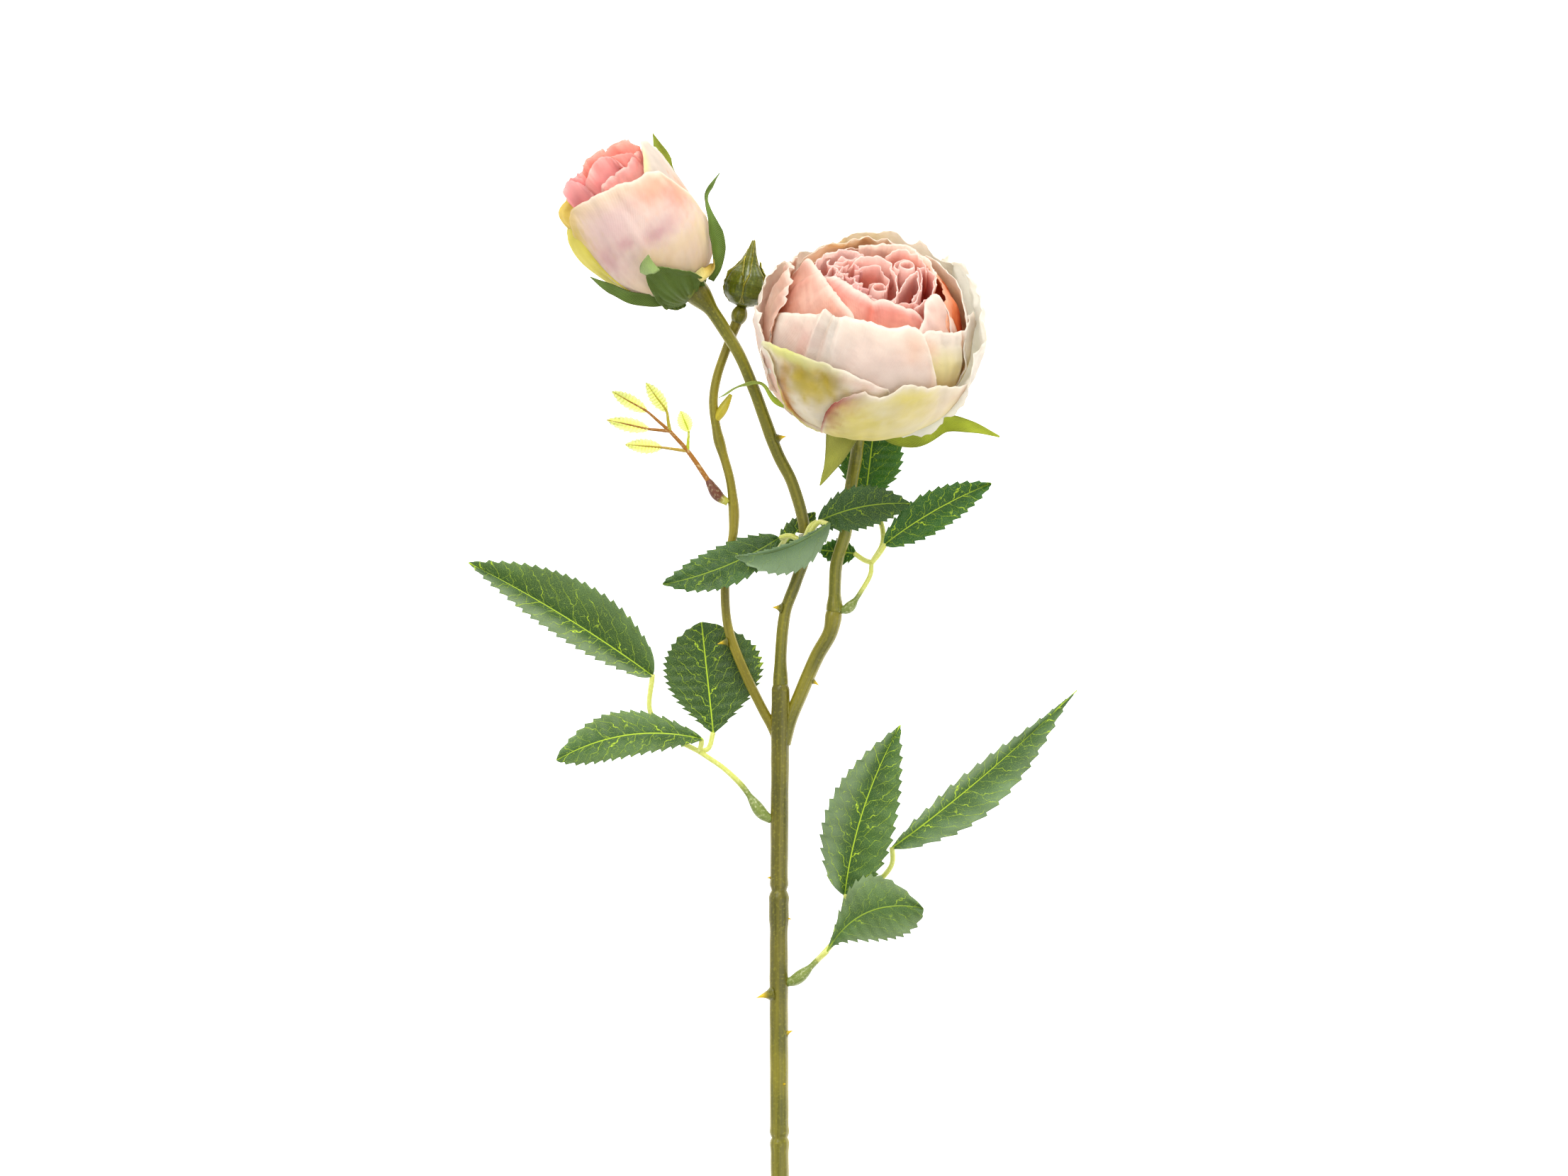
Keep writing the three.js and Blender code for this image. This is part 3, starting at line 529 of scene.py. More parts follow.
stem = Shape()
stem.tube(STEM_CURVE, main_stem_radius, main_stem_shade, sides=36, ridges=0.1, seed=11)
for below, direction, length, base in [
    (103, (-1, -0.1, 0.25), 4.8, 2.5),
    (118, (0.9, 0.6, 0.3), 3.0, 1.6),
    (134, (0.5, 0.3, 0.8), 1.6, 0.9),
    (78, (1, 0, 0.2), 1.4, 1.0),
    (65, (-1, 0.2, 0.2), 1.2, 1.0),
]:
    way = unit(direction)
    stem.cone(stem_at(below) + way * 2.2, way, length + 0.8, base, OLIVE, THORN_YELLOW)


def welt_radius(s, length):
    return 0.75 * np.sin(math.pi * np.clip(s / length, 0.02, 0.98)) ** 0.5 + 0.05


# Raised welts where the side branches were pressed on to the stem.
for x, low, high in ((-2.2, -26, -3), (2.3, -14, -3)):
    stem.tube(
        [(x, low, 9.2), (x * 1.05, (low + high) / 2, 9.8), (x, high, 9.6)], welt_radius, stem_shade(seed=9),
    )
stem.piece("main_stem", STEM, "stem_plastic")

BUD_FOOT = np.array([-12.6, 125.4, 12.0])
BUD_BRANCH = [
    (-0.9, -19, 8.6), (-3.0, -14, 8.5), (-6.2, -8, 8.2), (-14.1, 9, 8.4), (-17.6, 20, 8.9), (-18.3, 37, 9.2),
    (-15.6, 51, 9.4), (-16.4, 66, 9.7), (-21, 83.5, 10), (-22.3, 94, 10.2), (-21.1, 102, 10.3),
    (-17.9, 111.5, 10.6), tuple(BUD_FOOT + (-1.2, -3.4, -0.2)),
]


def bud_branch_radius(s, length):
    r = 1.62 - 0.12 * smooth(0, 60, s) + 0.35 * hill(s, 104, 3.5) + 0.3 * hill(s, 80, 5)
    return r + 0.35 * smooth(length - 12, length, s)


def knob_radius(s, length):
    t = s / length
    return 0.4 + 2.35 * np.sin(math.pi * np.clip(0.12 + 0.8 * t, 0, 1)) ** 0.6


branch = Shape()
branch.tube(BUD_BRANCH, bud_branch_radius, stem_shade(0x746C0E, 0x8C8018, 5), sides=24, ridges=0.06, seed=21)
knob = BUD_FOOT + (-1.0, -2.6, -0.2)
branch.tube(
    [knob + (-0.9, -2.9, 0), knob, knob + (0.8, 2.6, 0.2)], knob_radius, stem_shade(0x60620C, 0x7A7A20, 6),
    ridges=0.12,
)
branch.cone(np.array([-17.6, 14, 8.7]), (-1, -0.1, 0.1), 3.4, 1.5, OLIVE, THORN_YELLOW)


def stub_radius(s, length):
    t = s / length
    return 0.5 + 1.15 * np.sin(math.pi * np.clip(0.15 + 0.8 * t, 0, 1)) ** 1.3


branch.tube(
    [(-21.9, 87, 10.1), (-19.6, 90.5, 10.8), (-16.4, 96.2, 11.4)], stub_radius,
    stem_shade(0x9A932C, 0xC9B932, 8),
)
branch.piece("bud_branch", STEM, "stem_plastic")

FULL_CENTRE = np.array([29.0, 115.0, 36.8])
HALF_CENTRE = np.array([-46.8, 152.4, 20.0])


class Bloom:
    """A bloom's place: it opens along its axis, right and front complete its frame."""

    def __init__(self, centre, axis, outline):
        self.centre = centre
        self.axis = unit(axis)
        self.right = unit(np.cross(self.axis, [0.0, 0.0, 1.0]))
        self.front = np.cross(self.right, self.axis)
        self.outline = outline

    def at(self, across, forward, height):
        across, forward, height = (np.asarray(x, float)[..., None] for x in (across, forward, height))
        return self.centre + across * self.right + forward * self.front + height * self.axis

    def bowl(self, radius, theta, phi):
        """Point of the bowl of this radius, angles in degrees: phi from the foot, theta from the right."""
        r, height = self.outline(radius, np.asarray(phi, float))
        turn = np.radians(theta)
        return self.at(r * np.cos(turn), r * np.sin(turn), height)


FLATTENING = 0.88


def round_outline(radius, phi):
    angle = np.radians(phi)
    return radius * np.sin(angle), -FLATTENING * radius * np.cos(angle)


def barrel_outline(radius, phi):
    angle = np.radians(phi)
    past = np.clip((phi - 90) / 90, 0, 1)
    r = np.where(phi < 90, radius * np.sin(angle), radius * (1 - 0.28 * past**2))
    return r, -(7.6 + radius) * np.cos(angle)


FULL = Bloom(FULL_CENTRE, (0.08, 0.82, 0.57), round_outline)
HALF = Bloom(HALF_CENTRE, (-0.557, 0.83, 0.14), barrel_outline)
FULL_FOOT = FULL.at(0, 0, -FLATTENING * 40.4)

MIDDLE_BRANCH = [
    (0, -3.5, 8.8), (0, 0.3, 9), (0.2, 11.5, 9.6), (1.6, 24, 10.6), (5.2, 34, 11.3), (8, 43, 12),
    (7.9, 52, 12.5), (3.8, 67, 13.6), (-1.2, 77, 14.4), (-8.5, 97, 16.2), (-13.6, 109, 16.9),
    (-18.8, 117.8, 16.6), (-23.6, 125, 16.8), (-28.6, 130.8, 17.6),
]


def middle_radius(s, length):
    r = 1.95 + 0.55 * hill(s, 4, 5) + 0.12 * hill(s, 90, 8)
    return r + 0.3 * smooth(length - 26, length - 9, s) + 2.1 * smooth(length - 10, length - 1, s)


branch = Shape()
branch.tube(MIDDLE_BRANCH, middle_radius, stem_shade(0x5F600A, 0x787418, 7), sides=28, ridges=0.07, seed=31)
branch.cone(np.array([0.3, 25.2, 10.9]), (-1, 0.2, 0.2), 3.2, 1.7, OLIVE, THORN_YELLOW)
branch.cone(np.array([-1.3, 81.4, 15.0]), (1, 0.35, 0.2), 3.6, 1.9, OLIVE, THORN_YELLOW)
branch.piece("middle_branch", STEM, "stem_plastic")


def lower_right_radius(s, length):
    swelling = 0.3 * hill(s - length, -3.5, 2.5)
    return 2.2 + 0.35 * s / length + swelling - 0.7 * smooth(length - 2.2, length, s)


branch = Shape()
branch.tube(
    [(1.2, -20, 8.6), (3.2, -12, 8.5), (6.4, -4, 8.3), (12, 9, 8.8), (16.6, 17.5, 9.6), (18.0, 25.6, 10)],
    lower_right_radius, stem_shade(0x68660E, 0x827C1E, 12), ridges=0.07, seed=41,
)
branch.cone(np.array([10.2, 1.2, 8.6]), (1, -0.5, 0.1), 3.0, 1.5, OLIVE, THORN_YELLOW)
branch.piece("right_branch_lower", STEM, "stem_plastic")


def upper_right_radius(s, length):
    cuff = 0.75 * (1 - smooth(1.2, 6.5, s)) - 0.5 * (1 - smooth(0, 0.6, s))
    return 2.05 + cuff + 0.8 * smooth(length - 8, length, s)


branch = Shape()
branch.tube(
    [
        (17.9, 23.8, 10), (18.6, 40, 10.8), (21.6, 50.4, 11.3), (22.8, 62, 12),
        tuple(FULL_FOOT - 12 * FULL.axis), tuple(FULL_FOOT),
    ],
    upper_right_radius, stem_shade(0x68690E, 0x84862E, 14), ridges=0.09, seed=51,
)
branch.piece("right_branch_upper", STEM, "stem_plastic")

# ---- Petals ---------------------------------------------------------------------------------------------

CREAM = 0xF3ECDC
WHITE = 0xF7F3EA
PALE_PINK = 0xF2E3D8
BLUSH = 0xF5D2C4
PEACH = 0xF8D0B4
SALMON = 0xF5B9A8
CORAL = 0xF3A48E
DEEP_CORAL = 0xEE7E62
ROSE = 0xF6BCB6
YELLOW = 0xF0E6A4
LEMON = 0xE8DC6C
OLIVE_PATCH = 0x9C8406


def blended(stops, t):
    """Colour along a row of (share, colour) stops."""
    shares = [s for s, _ in stops]
    colours = np.array([linear(c) for _, c in stops])
    return np.stack([np.interp(t, shares, colours[:, k]) for k in range(3)], axis=-1)


def spot(colour, theta, phi, where, strength):
    """Paints a soft spot (theta, phi, width, height, colour) on to a petal's colours."""
    t0, p0, width, height, hexa = where
    far = ((theta - t0) / width) ** 2 + ((phi - p0) / height) ** 2
    far = far * (1 + 0.45 * waves(int(7 * abs(t0) + p0), theta, phi, 7))
    mask = (strength * np.exp(-far))[..., None]
    return colour * (1 - mask) + linear(hexa) * mask


SPOT_THROUGH = 0.4


def petal(
    bloom, radius, outline, inside, outside, seed, spots=(), pushes=(), pleats=(), curl=0.0, ruffle=0.5,
    tear=0.7, tilt=0.0, lip=0xFBF2E6, edge=None, foot=8.0, wrinkle=0.25, thickness=0.34, rows=46, columns=120,
):
    """A petal that grows up the bowl from the foot to a rim through these (theta, phi) points.

    inside and outside are rows of colour stops from the foot to the rim. spots are painted on both sides: (theta,
    phi, width, height, colour, strength). edge tints the rim: (colour, theta, width). pushes are bulges: (theta,
    phi, width, height, mm). pleats run up to the rim: (theta, width, mm). tilt lifts one side over its neighbour.
    """
    if outline[0][0] < outline[-1][0]:
        outline = outline[::-1]
    rim, _ = curve_through(np.asarray(outline, float), 0.5)
    pick = np.linspace(0, len(rim) - 1, columns)
    rim = np.stack([np.interp(pick, np.arange(len(rim)), rim[:, k]) for k in range(2)], axis=1)
    v = np.linspace(-1, 1, columns)[None, :]
    u = (np.linspace(0, 1, rows) ** 0.85)[:, None]
    theta = np.broadcast_to(rim[None, :, 0], (rows, columns))
    frayed = waves(seed, rim[None, :, 0], 0 * v, 4.5) + 0.6 * waves(seed + 9, rim[None, :, 0], 0 * v, 1.6)
    high = rim[None, :, 1] + tear * frayed
    phi = foot + (high - foot) * u
    span = rim[:, 0].max() - rim[:, 0].min()
    middle = (rim[:, 0].max() + rim[:, 0].min()) / 2
    turn = (theta - middle) / span * 2
    near = smooth(0.55, 1.0, u)
    out = tilt * turn + ruffle * near**2 * waves(seed + 1, theta, 0.6 * phi, 17)
    out = out + 0.4 * ruffle * near**3 * waves(seed + 2, theta, phi, 6)
    out = out + wrinkle * smooth(0.1, 0.5, u) * waves(seed + 3, 1.6 * theta, 0.35 * phi, 22)
    out = out + curl * smooth(0.82, 1.0, u) ** 1.5
    for t0, p0, width, height, mm in pushes:
        out = out + mm * hill(theta, t0, width) * hill(phi, p0, height)
    for t0, width, mm in pleats:
        out = out + mm * smooth(0.35, 1.0, u) * hill(theta, t0, width)
    place = bloom.bowl(radius + out, theta, phi)
    front, back = blended(outside, u + 0 * v), blended(inside, u + 0 * v)
    streak = (0.05 * waves(seed + 4, theta, 0.25 * phi, 9))[..., None]
    front, back = front * (1 + streak), back * (1 + streak)
    for *where, strength in spots:
        front = spot(front, theta, phi, where, strength)
        back = spot(back, theta, phi, where, SPOT_THROUGH * strength)
    if lip is not None:
        mask = (smooth(0.95, 1.0, u) + 0 * v)[..., None] * 0.7
        front = front * (1 - mask) + linear(lip) * mask
        back = back * (1 - mask) + linear(lip) * mask
    if edge is not None:
        hexa, t0, width = edge
        mask = (smooth(0.9, 1.0, u) * hill(theta, t0, width))[..., None]
        front = front * (1 - mask) + linear(hexa) * mask
    girth = radius * np.sin(np.radians(np.clip(phi, 30, 150)))
    uv = np.stack([np.radians(theta) * girth, np.radians(phi) * radius], -1)
    shape = Shape()
    shape.sheet(place, front, back, uv, thickness)
    return shape


# The coral and deep coral at the foot of the petals' rows, deep in the bowl, is partly the print and partly
# painted shade of its crevices.
PALE_OUT = [(0, YELLOW), (0.35, CREAM), (0.8, PALE_PINK), (1, WHITE)]
PALE_IN = [(0, CORAL), (0.5, PEACH), (0.85, BLUSH), (1, PALE_PINK)]
PEACH_OUT = [(0, PEACH), (0.5, PALE_PINK), (1, BLUSH)]
CORAL_IN = [(0, DEEP_CORAL), (0.6, CORAL), (0.85, PEACH), (1, BLUSH)]
CORAL_OUT = [(0, DEEP_CORAL), (0.6, CORAL), (0.9, SALMON), (1, ROSE)]

FULL_PETALS = {
    # The front petal: yellow, with a rust-coloured left edge.
    "outer_petal_1": dict(
        radius=37.7,
        outline=[
            (122, 14), (116, 45), (111, 64), (107, 78), (102, 86), (96, 91), (90, 93.5), (86, 92), (81, 91.5),
            (76, 94), (70, 98), (64, 97), (57, 94), (52, 94), (44, 90), (34, 86), (27, 83), (25, 74),
            (26, 60), (30, 40), (34, 14),
        ],
        outside=[(0, 0xE2DC84), (0.5, 0xEBE28C), (0.8, 0xEFE5A8), (1, CREAM)], inside=PALE_IN, seed=101,
        tilt=0.2,
        spots=[
            (107, 78, 6, 18, 0xA2483A, 0.85), (99, 84, 8, 8, 0xC98A5A, 0.6), (88, 74, 14, 13, LEMON, 0.6),
            (66, 88, 16, 9, LEMON, 0.75), (78, 80, 10, 6, CREAM, 0.4), (44, 75, 9, 20, PALE_PINK, 0.6),
            (30, 78, 6, 12, BLUSH, 0.5), (60, 60, 16, 12, CREAM, 0.5),
        ],
        edge=(0xA2483A, 106, 12), curl=0.7, pleats=[(47, 3, -0.7), (36, 4, 0.6)], ruffle=0.5, tear=0.5,
    ),
    "outer_petal_2": dict(
        radius=36.8,
        outline=[
            (126, 14), (130, 43), (134, 58), (136, 72), (138, 86), (143, 94), (152, 98), (146, 102),
            (138, 104), (131, 105.5), (123, 106), (118, 106), (111, 106), (104, 105), (98, 103.5), (91, 101),
            (84, 98), (78, 94), (74, 84), (71, 66), (70, 40), (70, 14),
        ],
        outside=[(0, YELLOW), (0.3, 0xF1E7C0), (0.75, WHITE), (1, CREAM)], inside=PALE_IN, seed=111, tilt=0.9,
        spots=[
            (109, 95, 7, 9, OLIVE_PATCH, 1.0), (124, 93, 10, 12, OLIVE_PATCH, 0.98),
            (117, 86, 18, 13, 0xD2BE4A, 0.85), (92, 98, 10, 5, BLUSH, 0.5),
            (134, 103, 12, 3.5, 0xC9D070, 0.95), (84, 98, 8, 4, BLUSH, 0.7),
            (135, 62, 3.5, 30, 0xC98A1E, 0.9), (114, 105, 10, 2.5, 0xC4C24E, 0.9),
        ],
        edge=(0xDDE08C, 134, 18), curl=1.6,
        pushes=[(138, 103, 12, 5, 1.3), (112, 96, 3, 7, -0.8), (107, 98, 2, 6, 0.7), (74, 80, 8, 26, -2.0)],
        ruffle=0.45, tear=0.35,
    ),
    "outer_petal_3": dict(
        radius=36.6,
        outline=[
            (128, 14), (136, 45), (144, 70), (150, 88), (158, 99), (168, 105), (180, 104), (192, 109),
            (206, 114), (220, 112), (236, 110), (250, 98), (260, 60), (264, 14),
        ],
        outside=[(0, YELLOW), (0.35, CREAM), (0.8, PALE_PINK), (1, WHITE)], inside=PALE_IN, seed=122,
        curl=1.8, ruffle=1.2, spots=[(160, 60, 14, 18, YELLOW, 0.4), (176, 88, 12, 14, BLUSH, 0.45)],
        tear=1.0,
    ),
    "outer_petal_4": dict(
        radius=37.0,
        outline=[
            (230, 14), (232, 60), (236, 104), (244, 121), (254, 127), (263, 133), (274, 136), (284, 134),
            (292, 128), (300, 130), (310, 124), (320, 108), (328, 60), (330, 14),
        ],
        outside=PALE_OUT, inside=[(0, PEACH), (0.6, 0xF8E6C8), (1, WHITE)], seed=133, curl=0.8, ruffle=1.2,
        tear=1.0, spots=[(246, 122, 8, 10, 0xF0CF7A, 0.8), (268, 128, 12, 8, 0xF3DDA0, 0.5)],
    ),
    "outer_petal_5": dict(
        radius=37.4,
        outline=[
            (292, 14), (296, 70), (302, 104), (312, 118), (324, 122), (336, 118), (346, 119), (356, 114),
            (364, 112), (372, 104), (380, 98), (388, 90), (394, 70), (396, 14),
        ],
        outside=[(0, YELLOW), (0.4, WHITE), (1, WHITE)], inside=[(0, PEACH), (0.3, 0xFBF6EC), (1, 0xFFFDF8)],
        seed=144, curl=2.4, ruffle=1.5, tear=1.2, spots=[(372, 84, 12, 12, BLUSH, 0.4)],
    ),
    # The big pale front petal with its pleat.
    "second_petal_1": dict(
        radius=34.6,
        outline=[
            (174, 20), (172, 60), (170, 84), (168, 99), (161, 111), (148, 121), (137, 126), (128, 129.5),
            (124, 133.5), (119, 132), (110, 133), (100, 133.5), (91, 133.5), (82, 131), (72, 130),
            (64, 130.5), (57, 127), (53.5, 118), (52, 106), (50.5, 96), (51, 86), (54, 50), (56, 20),
        ],
        outside=[(0, YELLOW), (0.35, CREAM), (0.6, 0xF1EBE2), (0.85, 0xEEDDD2), (1, CREAM)], inside=CORAL_IN,
        seed=155, tilt=-0.8,
        pleats=[
            (124.5, 1.8, 3.2), (120.5, 2.0, -2.2), (109, 2.8, 1.5), (113.5, 2.2, -1.2), (137, 3.5, -1.0),
            (80, 5, 0.5),
        ],
        ruffle=0.5, tear=0.5, curl=0.7,
        spots=[
            # The coral strip at theta 168 is painted shade in the gap beside the next petal's edge.
            (140, 112, 10, 10, BLUSH, 0.6), (130, 106, 5, 14, 0xEDB4A8, 0.55), (168, 92, 5, 14, CORAL, 0.75),
            (113, 114, 4, 14, WHITE, 0.7), (94, 120, 12, 10, PALE_PINK, 0.5), (62, 116, 6, 9, PEACH, 0.5),
        ],
    ),
    "second_petal_2": dict(
        radius=33.6,
        outline=[
            (66, 20), (66, 70), (64, 104), (58, 120), (48, 124), (38, 121), (30, 117), (22, 113.5), (12, 112),
            (2, 112), (-8, 108), (-16, 90), (-20, 50), (-20, 20),
        ],
        outside=[(0, YELLOW), (0.55, 0xF3E7A6), (0.8, YELLOW), (0.93, CREAM), (1, WHITE)], inside=CORAL_IN,
        seed=166, tilt=-0.6, ruffle=0.9, tear=0.8,
        spots=[
            (50, 113, 7, 6, PEACH, 0.8), (14, 100, 12, 14, CREAM, 0.8), (20, 104, 1.6, 10, 0xD98A3A, 0.7),
            (0, 96, 12, 18, PALE_PINK, 0.6),
        ],
        pleats=[(20, 2.0, -0.9), (16, 2, 0.6)], curl=0.9,
    ),
    "second_petal_3": dict(
        radius=33.4,
        outline=[
            (30, 20), (26, 80), (16, 106), (4, 117), (-8, 120.5), (-20, 124), (-30, 128), (-42, 131),
            (-54, 128), (-62, 112), (-66, 60), (-68, 20),
        ],
        outside=PALE_OUT, inside=[(0, DEEP_CORAL), (0.6, 0xF3A47C), (0.88, 0xF9DCC0), (1, WHITE)], seed=177,
        ruffle=0.8, curl=0.8, tilt=0.3, tear=0.8,
    ),
    "second_petal_4": dict(
        radius=34.0,
        outline=[
            (312, 20), (308, 90), (302, 122), (294, 133), (282, 138), (268, 139), (254, 137), (242, 134),
            (230, 128), (220, 112), (214, 60), (212, 20),
        ],
        outside=PEACH_OUT, inside=[(0, CORAL), (0.5, 0xF8D4B8), (0.85, 0xF9E2C4), (1, 0xFAEAD2)], seed=188,
        ruffle=0.9, curl=0.5, tear=0.8,
        spots=[(240, 132, 10, 7, 0xEFC25A, 0.9), (262, 130, 8, 8, 0xF2C98E, 0.6)],
    ),
    "second_petal_5": dict(
        radius=34.8,
        outline=[
            (226, 20), (226, 80), (220, 110), (212, 121), (203, 124), (194, 128.5), (184, 131), (174, 130),
            (166, 126), (158, 122), (156, 112), (154, 90), (152, 50), (152, 20),
        ],
        outside=[(0, YELLOW), (0.5, 0xE8C8B4), (1, 0xEDC2AE)], inside=CORAL_IN, seed=199, ruffle=1.3,
        curl=1.0, tear=0.9, spots=[(178, 112, 14, 8, 0xD8B49C, 0.5), (192, 108, 7, 10, WHITE, 0.5)],
    ),
    # The peaked petal on the left. Its coral print is darkened on the outside as painted shade.
    "third_petal_1": dict(
        radius=32.2,
        outline=[
            (210, 30), (208, 90), (204, 118), (199, 130), (193, 140), (186, 143.5), (176, 146), (162, 147.5),
            (148, 147.5), (132, 145.5), (118, 142), (106, 137), (98, 124), (94, 90), (92, 30),
        ],
        outside=[(0, CORAL), (0.55, 0xD4866E), (0.8, 0xD8947C), (1, 0xEEC2AE)], inside=CORAL_OUT, seed=210,
        ruffle=0.5, curl=0.5,
        spots=[
            (150, 134, 14, 13, 0xF0CAB8, 0.55), (122, 130, 10, 14, 0xCE8068, 0.5),
            (168, 134, 5, 12, 0xD89482, 0.5),
        ],
        pushes=[(194, 140, 9, 9, 2.4)], pleats=[(150, 4, -0.6)], tear=0.45,
    ),
    "third_petal_2": dict(
        radius=29.4,
        outline=[
            (172, 40), (172, 100), (176, 136), (172, 149), (160, 154), (144, 156.5), (128, 156.5), (112, 155),
            (98, 153), (86, 151), (75, 150), (64, 147.5), (54, 143), (44, 138), (38, 120), (36, 80), (36, 40),
        ],
        outside=[(0, DEEP_CORAL), (0.55, 0xEA947C), (0.8, 0xE49A82), (0.95, 0xE89C8E), (1, 0xF4C4B8)],
        inside=CORAL_OUT, seed=221, ruffle=0.6, curl=0.6, pleats=[(91, 5, -1.6), (74, 5, 0.8)],
        spots=[
            (91, 142, 4, 12, 0xEF8A74, 0.8), (110, 140, 12, 8, 0xF7C0AC, 0.6),
            (66, 140, 10, 8, 0xF49E8A, 0.5),
        ],
        tear=0.5,
    ),
    "third_petal_3": dict(
        radius=31.0,
        outline=[
            (64, 40), (62, 100), (56, 122), (46, 130), (38, 137), (30, 140.5), (22, 141.5), (16, 139.5),
            (13, 136), (16, 127), (21, 118), (26, 110), (29, 96), (29, 40),
        ],
        outside=[(0, CORAL), (0.55, 0xE8B29C), (0.8, 0xECC2B0), (1, 0xF0DACE)], inside=CORAL_IN, seed=232,
        ruffle=0.35, curl=0.5, pushes=[(16, 136, 8, 7, 1.0)], tear=0.4,
        spots=[(46, 126, 8, 6, 0xF7D9D2, 0.5)],
    ),
    "third_petal_4": dict(
        radius=30.6,
        outline=[
            (-70, 40), (-66, 100), (-58, 128), (-48, 137), (-36, 139), (-24, 136), (-12, 134), (0, 132),
            (14, 128), (28, 116), (34, 100), (36, 40),
        ],
        outside=[(0, 0xD9502A), (0.75, 0xE05A26), (0.92, 0xEE8450), (1, 0xF6B896)],
        inside=[(0, 0xD9502A), (0.6, 0xE8703C), (0.85, 0xF4B088), (1, 0xF8D4BC)], seed=243, lip=None,
        ruffle=0.8, curl=0.8,
    ),
    "third_petal_5": dict(
        radius=30.8,
        outline=[
            (302, 40), (300, 100), (294, 130), (284, 139), (270, 142), (256, 142), (242, 141), (230, 141),
            (218, 138), (208, 126), (202, 90), (200, 40),
        ],
        outside=[(0, DEEP_CORAL), (0.7, CORAL), (1, PEACH)],
        inside=[(0, DEEP_CORAL), (0.6, SALMON), (0.9, 0xF2AFA0), (1, 0xF6C9BC)], seed=254, ruffle=0.9,
        curl=0.4,
    ),
}

for key, spec in FULL_PETALS.items():
    petal(FULL, **spec).piece("full_bloom_" + key, PETAL, "pale_petal_fabric")


def ribbon(
    shape, bloom, path, depth, seed, rim=0xF7D5CD, body=ROSE, deep=CORAL, lean=0.0, ruffle=0.6, bulge=0.0,
    rows=22, spacing=0.28,
):
    """A petal of the heart. It stands on edge: its rim goes through these (across, forward, height) points."""
    top, run = curve_through(path, spacing)
    count = len(top)
    u = np.linspace(0, 1, rows)[:, None]
    s = run[None, :]
    flow = unit(np.gradient(top[:, :2], axis=0))
    outward = np.stack([flow[:, 1], -flow[:, 0]], axis=1)
    ends = 1 - 0.5 * (1 - smooth(0, 2.5, s)) - 0.5 * smooth(run[-1] - 2.5, run[-1], s)
    drop = (1 - u) * depth * ends
    near = smooth(0.4, 1, u)
    side = lean * (1 - u) + bulge * np.sin(math.pi * u) + near**2 * ruffle * waves(seed, s, 2 * u, 5.5)
    side = side + 0.35 * ruffle * near**3 * waves(seed + 1, s, u, 1.9) - 0.25 * waves(seed + 3, s, 3 * u, 9)
    height = top[None, :, 2] - drop + near * 0.35 * ruffle * waves(seed + 2, s, 0 * u, 2.4) + 0 * u
    across = top[None, :, 0] + side * outward[None, :, 0]
    forward = top[None, :, 1] + side * outward[None, :, 1]
    place = bloom.at(across, forward, height)
    # The deep colour at the foot of each fold is partly the print and partly painted shade of the heart's
    # creases.
    colour = blended([(0, deep), (0.55, body), (0.93, rim), (1, rim)], u + 0 * s)
    colour = colour * (1 + 0.07 * waves(seed + 5, s, 6 * u, 6))[..., None]
    uv = np.stack(np.broadcast_arrays(s, u * depth), -1)
    shape.sheet(place, colour, colour * 0.97, uv, 0.3)


def roll(shape, bloom, centre, radius, height, depth, seed, start=0.0, turns=1.5, shrink=0.45, **colours):
    """A petal rolled up about its own middle."""
    steps = np.linspace(0, 1, 16)
    angle = np.radians(start) + 2 * math.pi * turns * steps
    r = radius * (1 - (1 - shrink) * steps)
    path = np.stack(
        [centre[0] + r * np.cos(angle), centre[1] + r * np.sin(angle), height + 0.8 * steps], axis=1,
    )
    ribbon(shape, bloom, path, depth, seed, ruffle=0.25, bulge=0.8, **colours)


def heart_pieces(bloom, prefix, pieces):
    """Builds the petals of a heart. Each is a list of folds, and a fold that has a centre is a roll."""
    for key, folds in pieces.items():
        shape = Shape()
        for fold in folds:
            (roll if "centre" in fold else ribbon)(shape, bloom, **fold)
        shape.piece(prefix + key, PINK, "pink_petal_fabric")


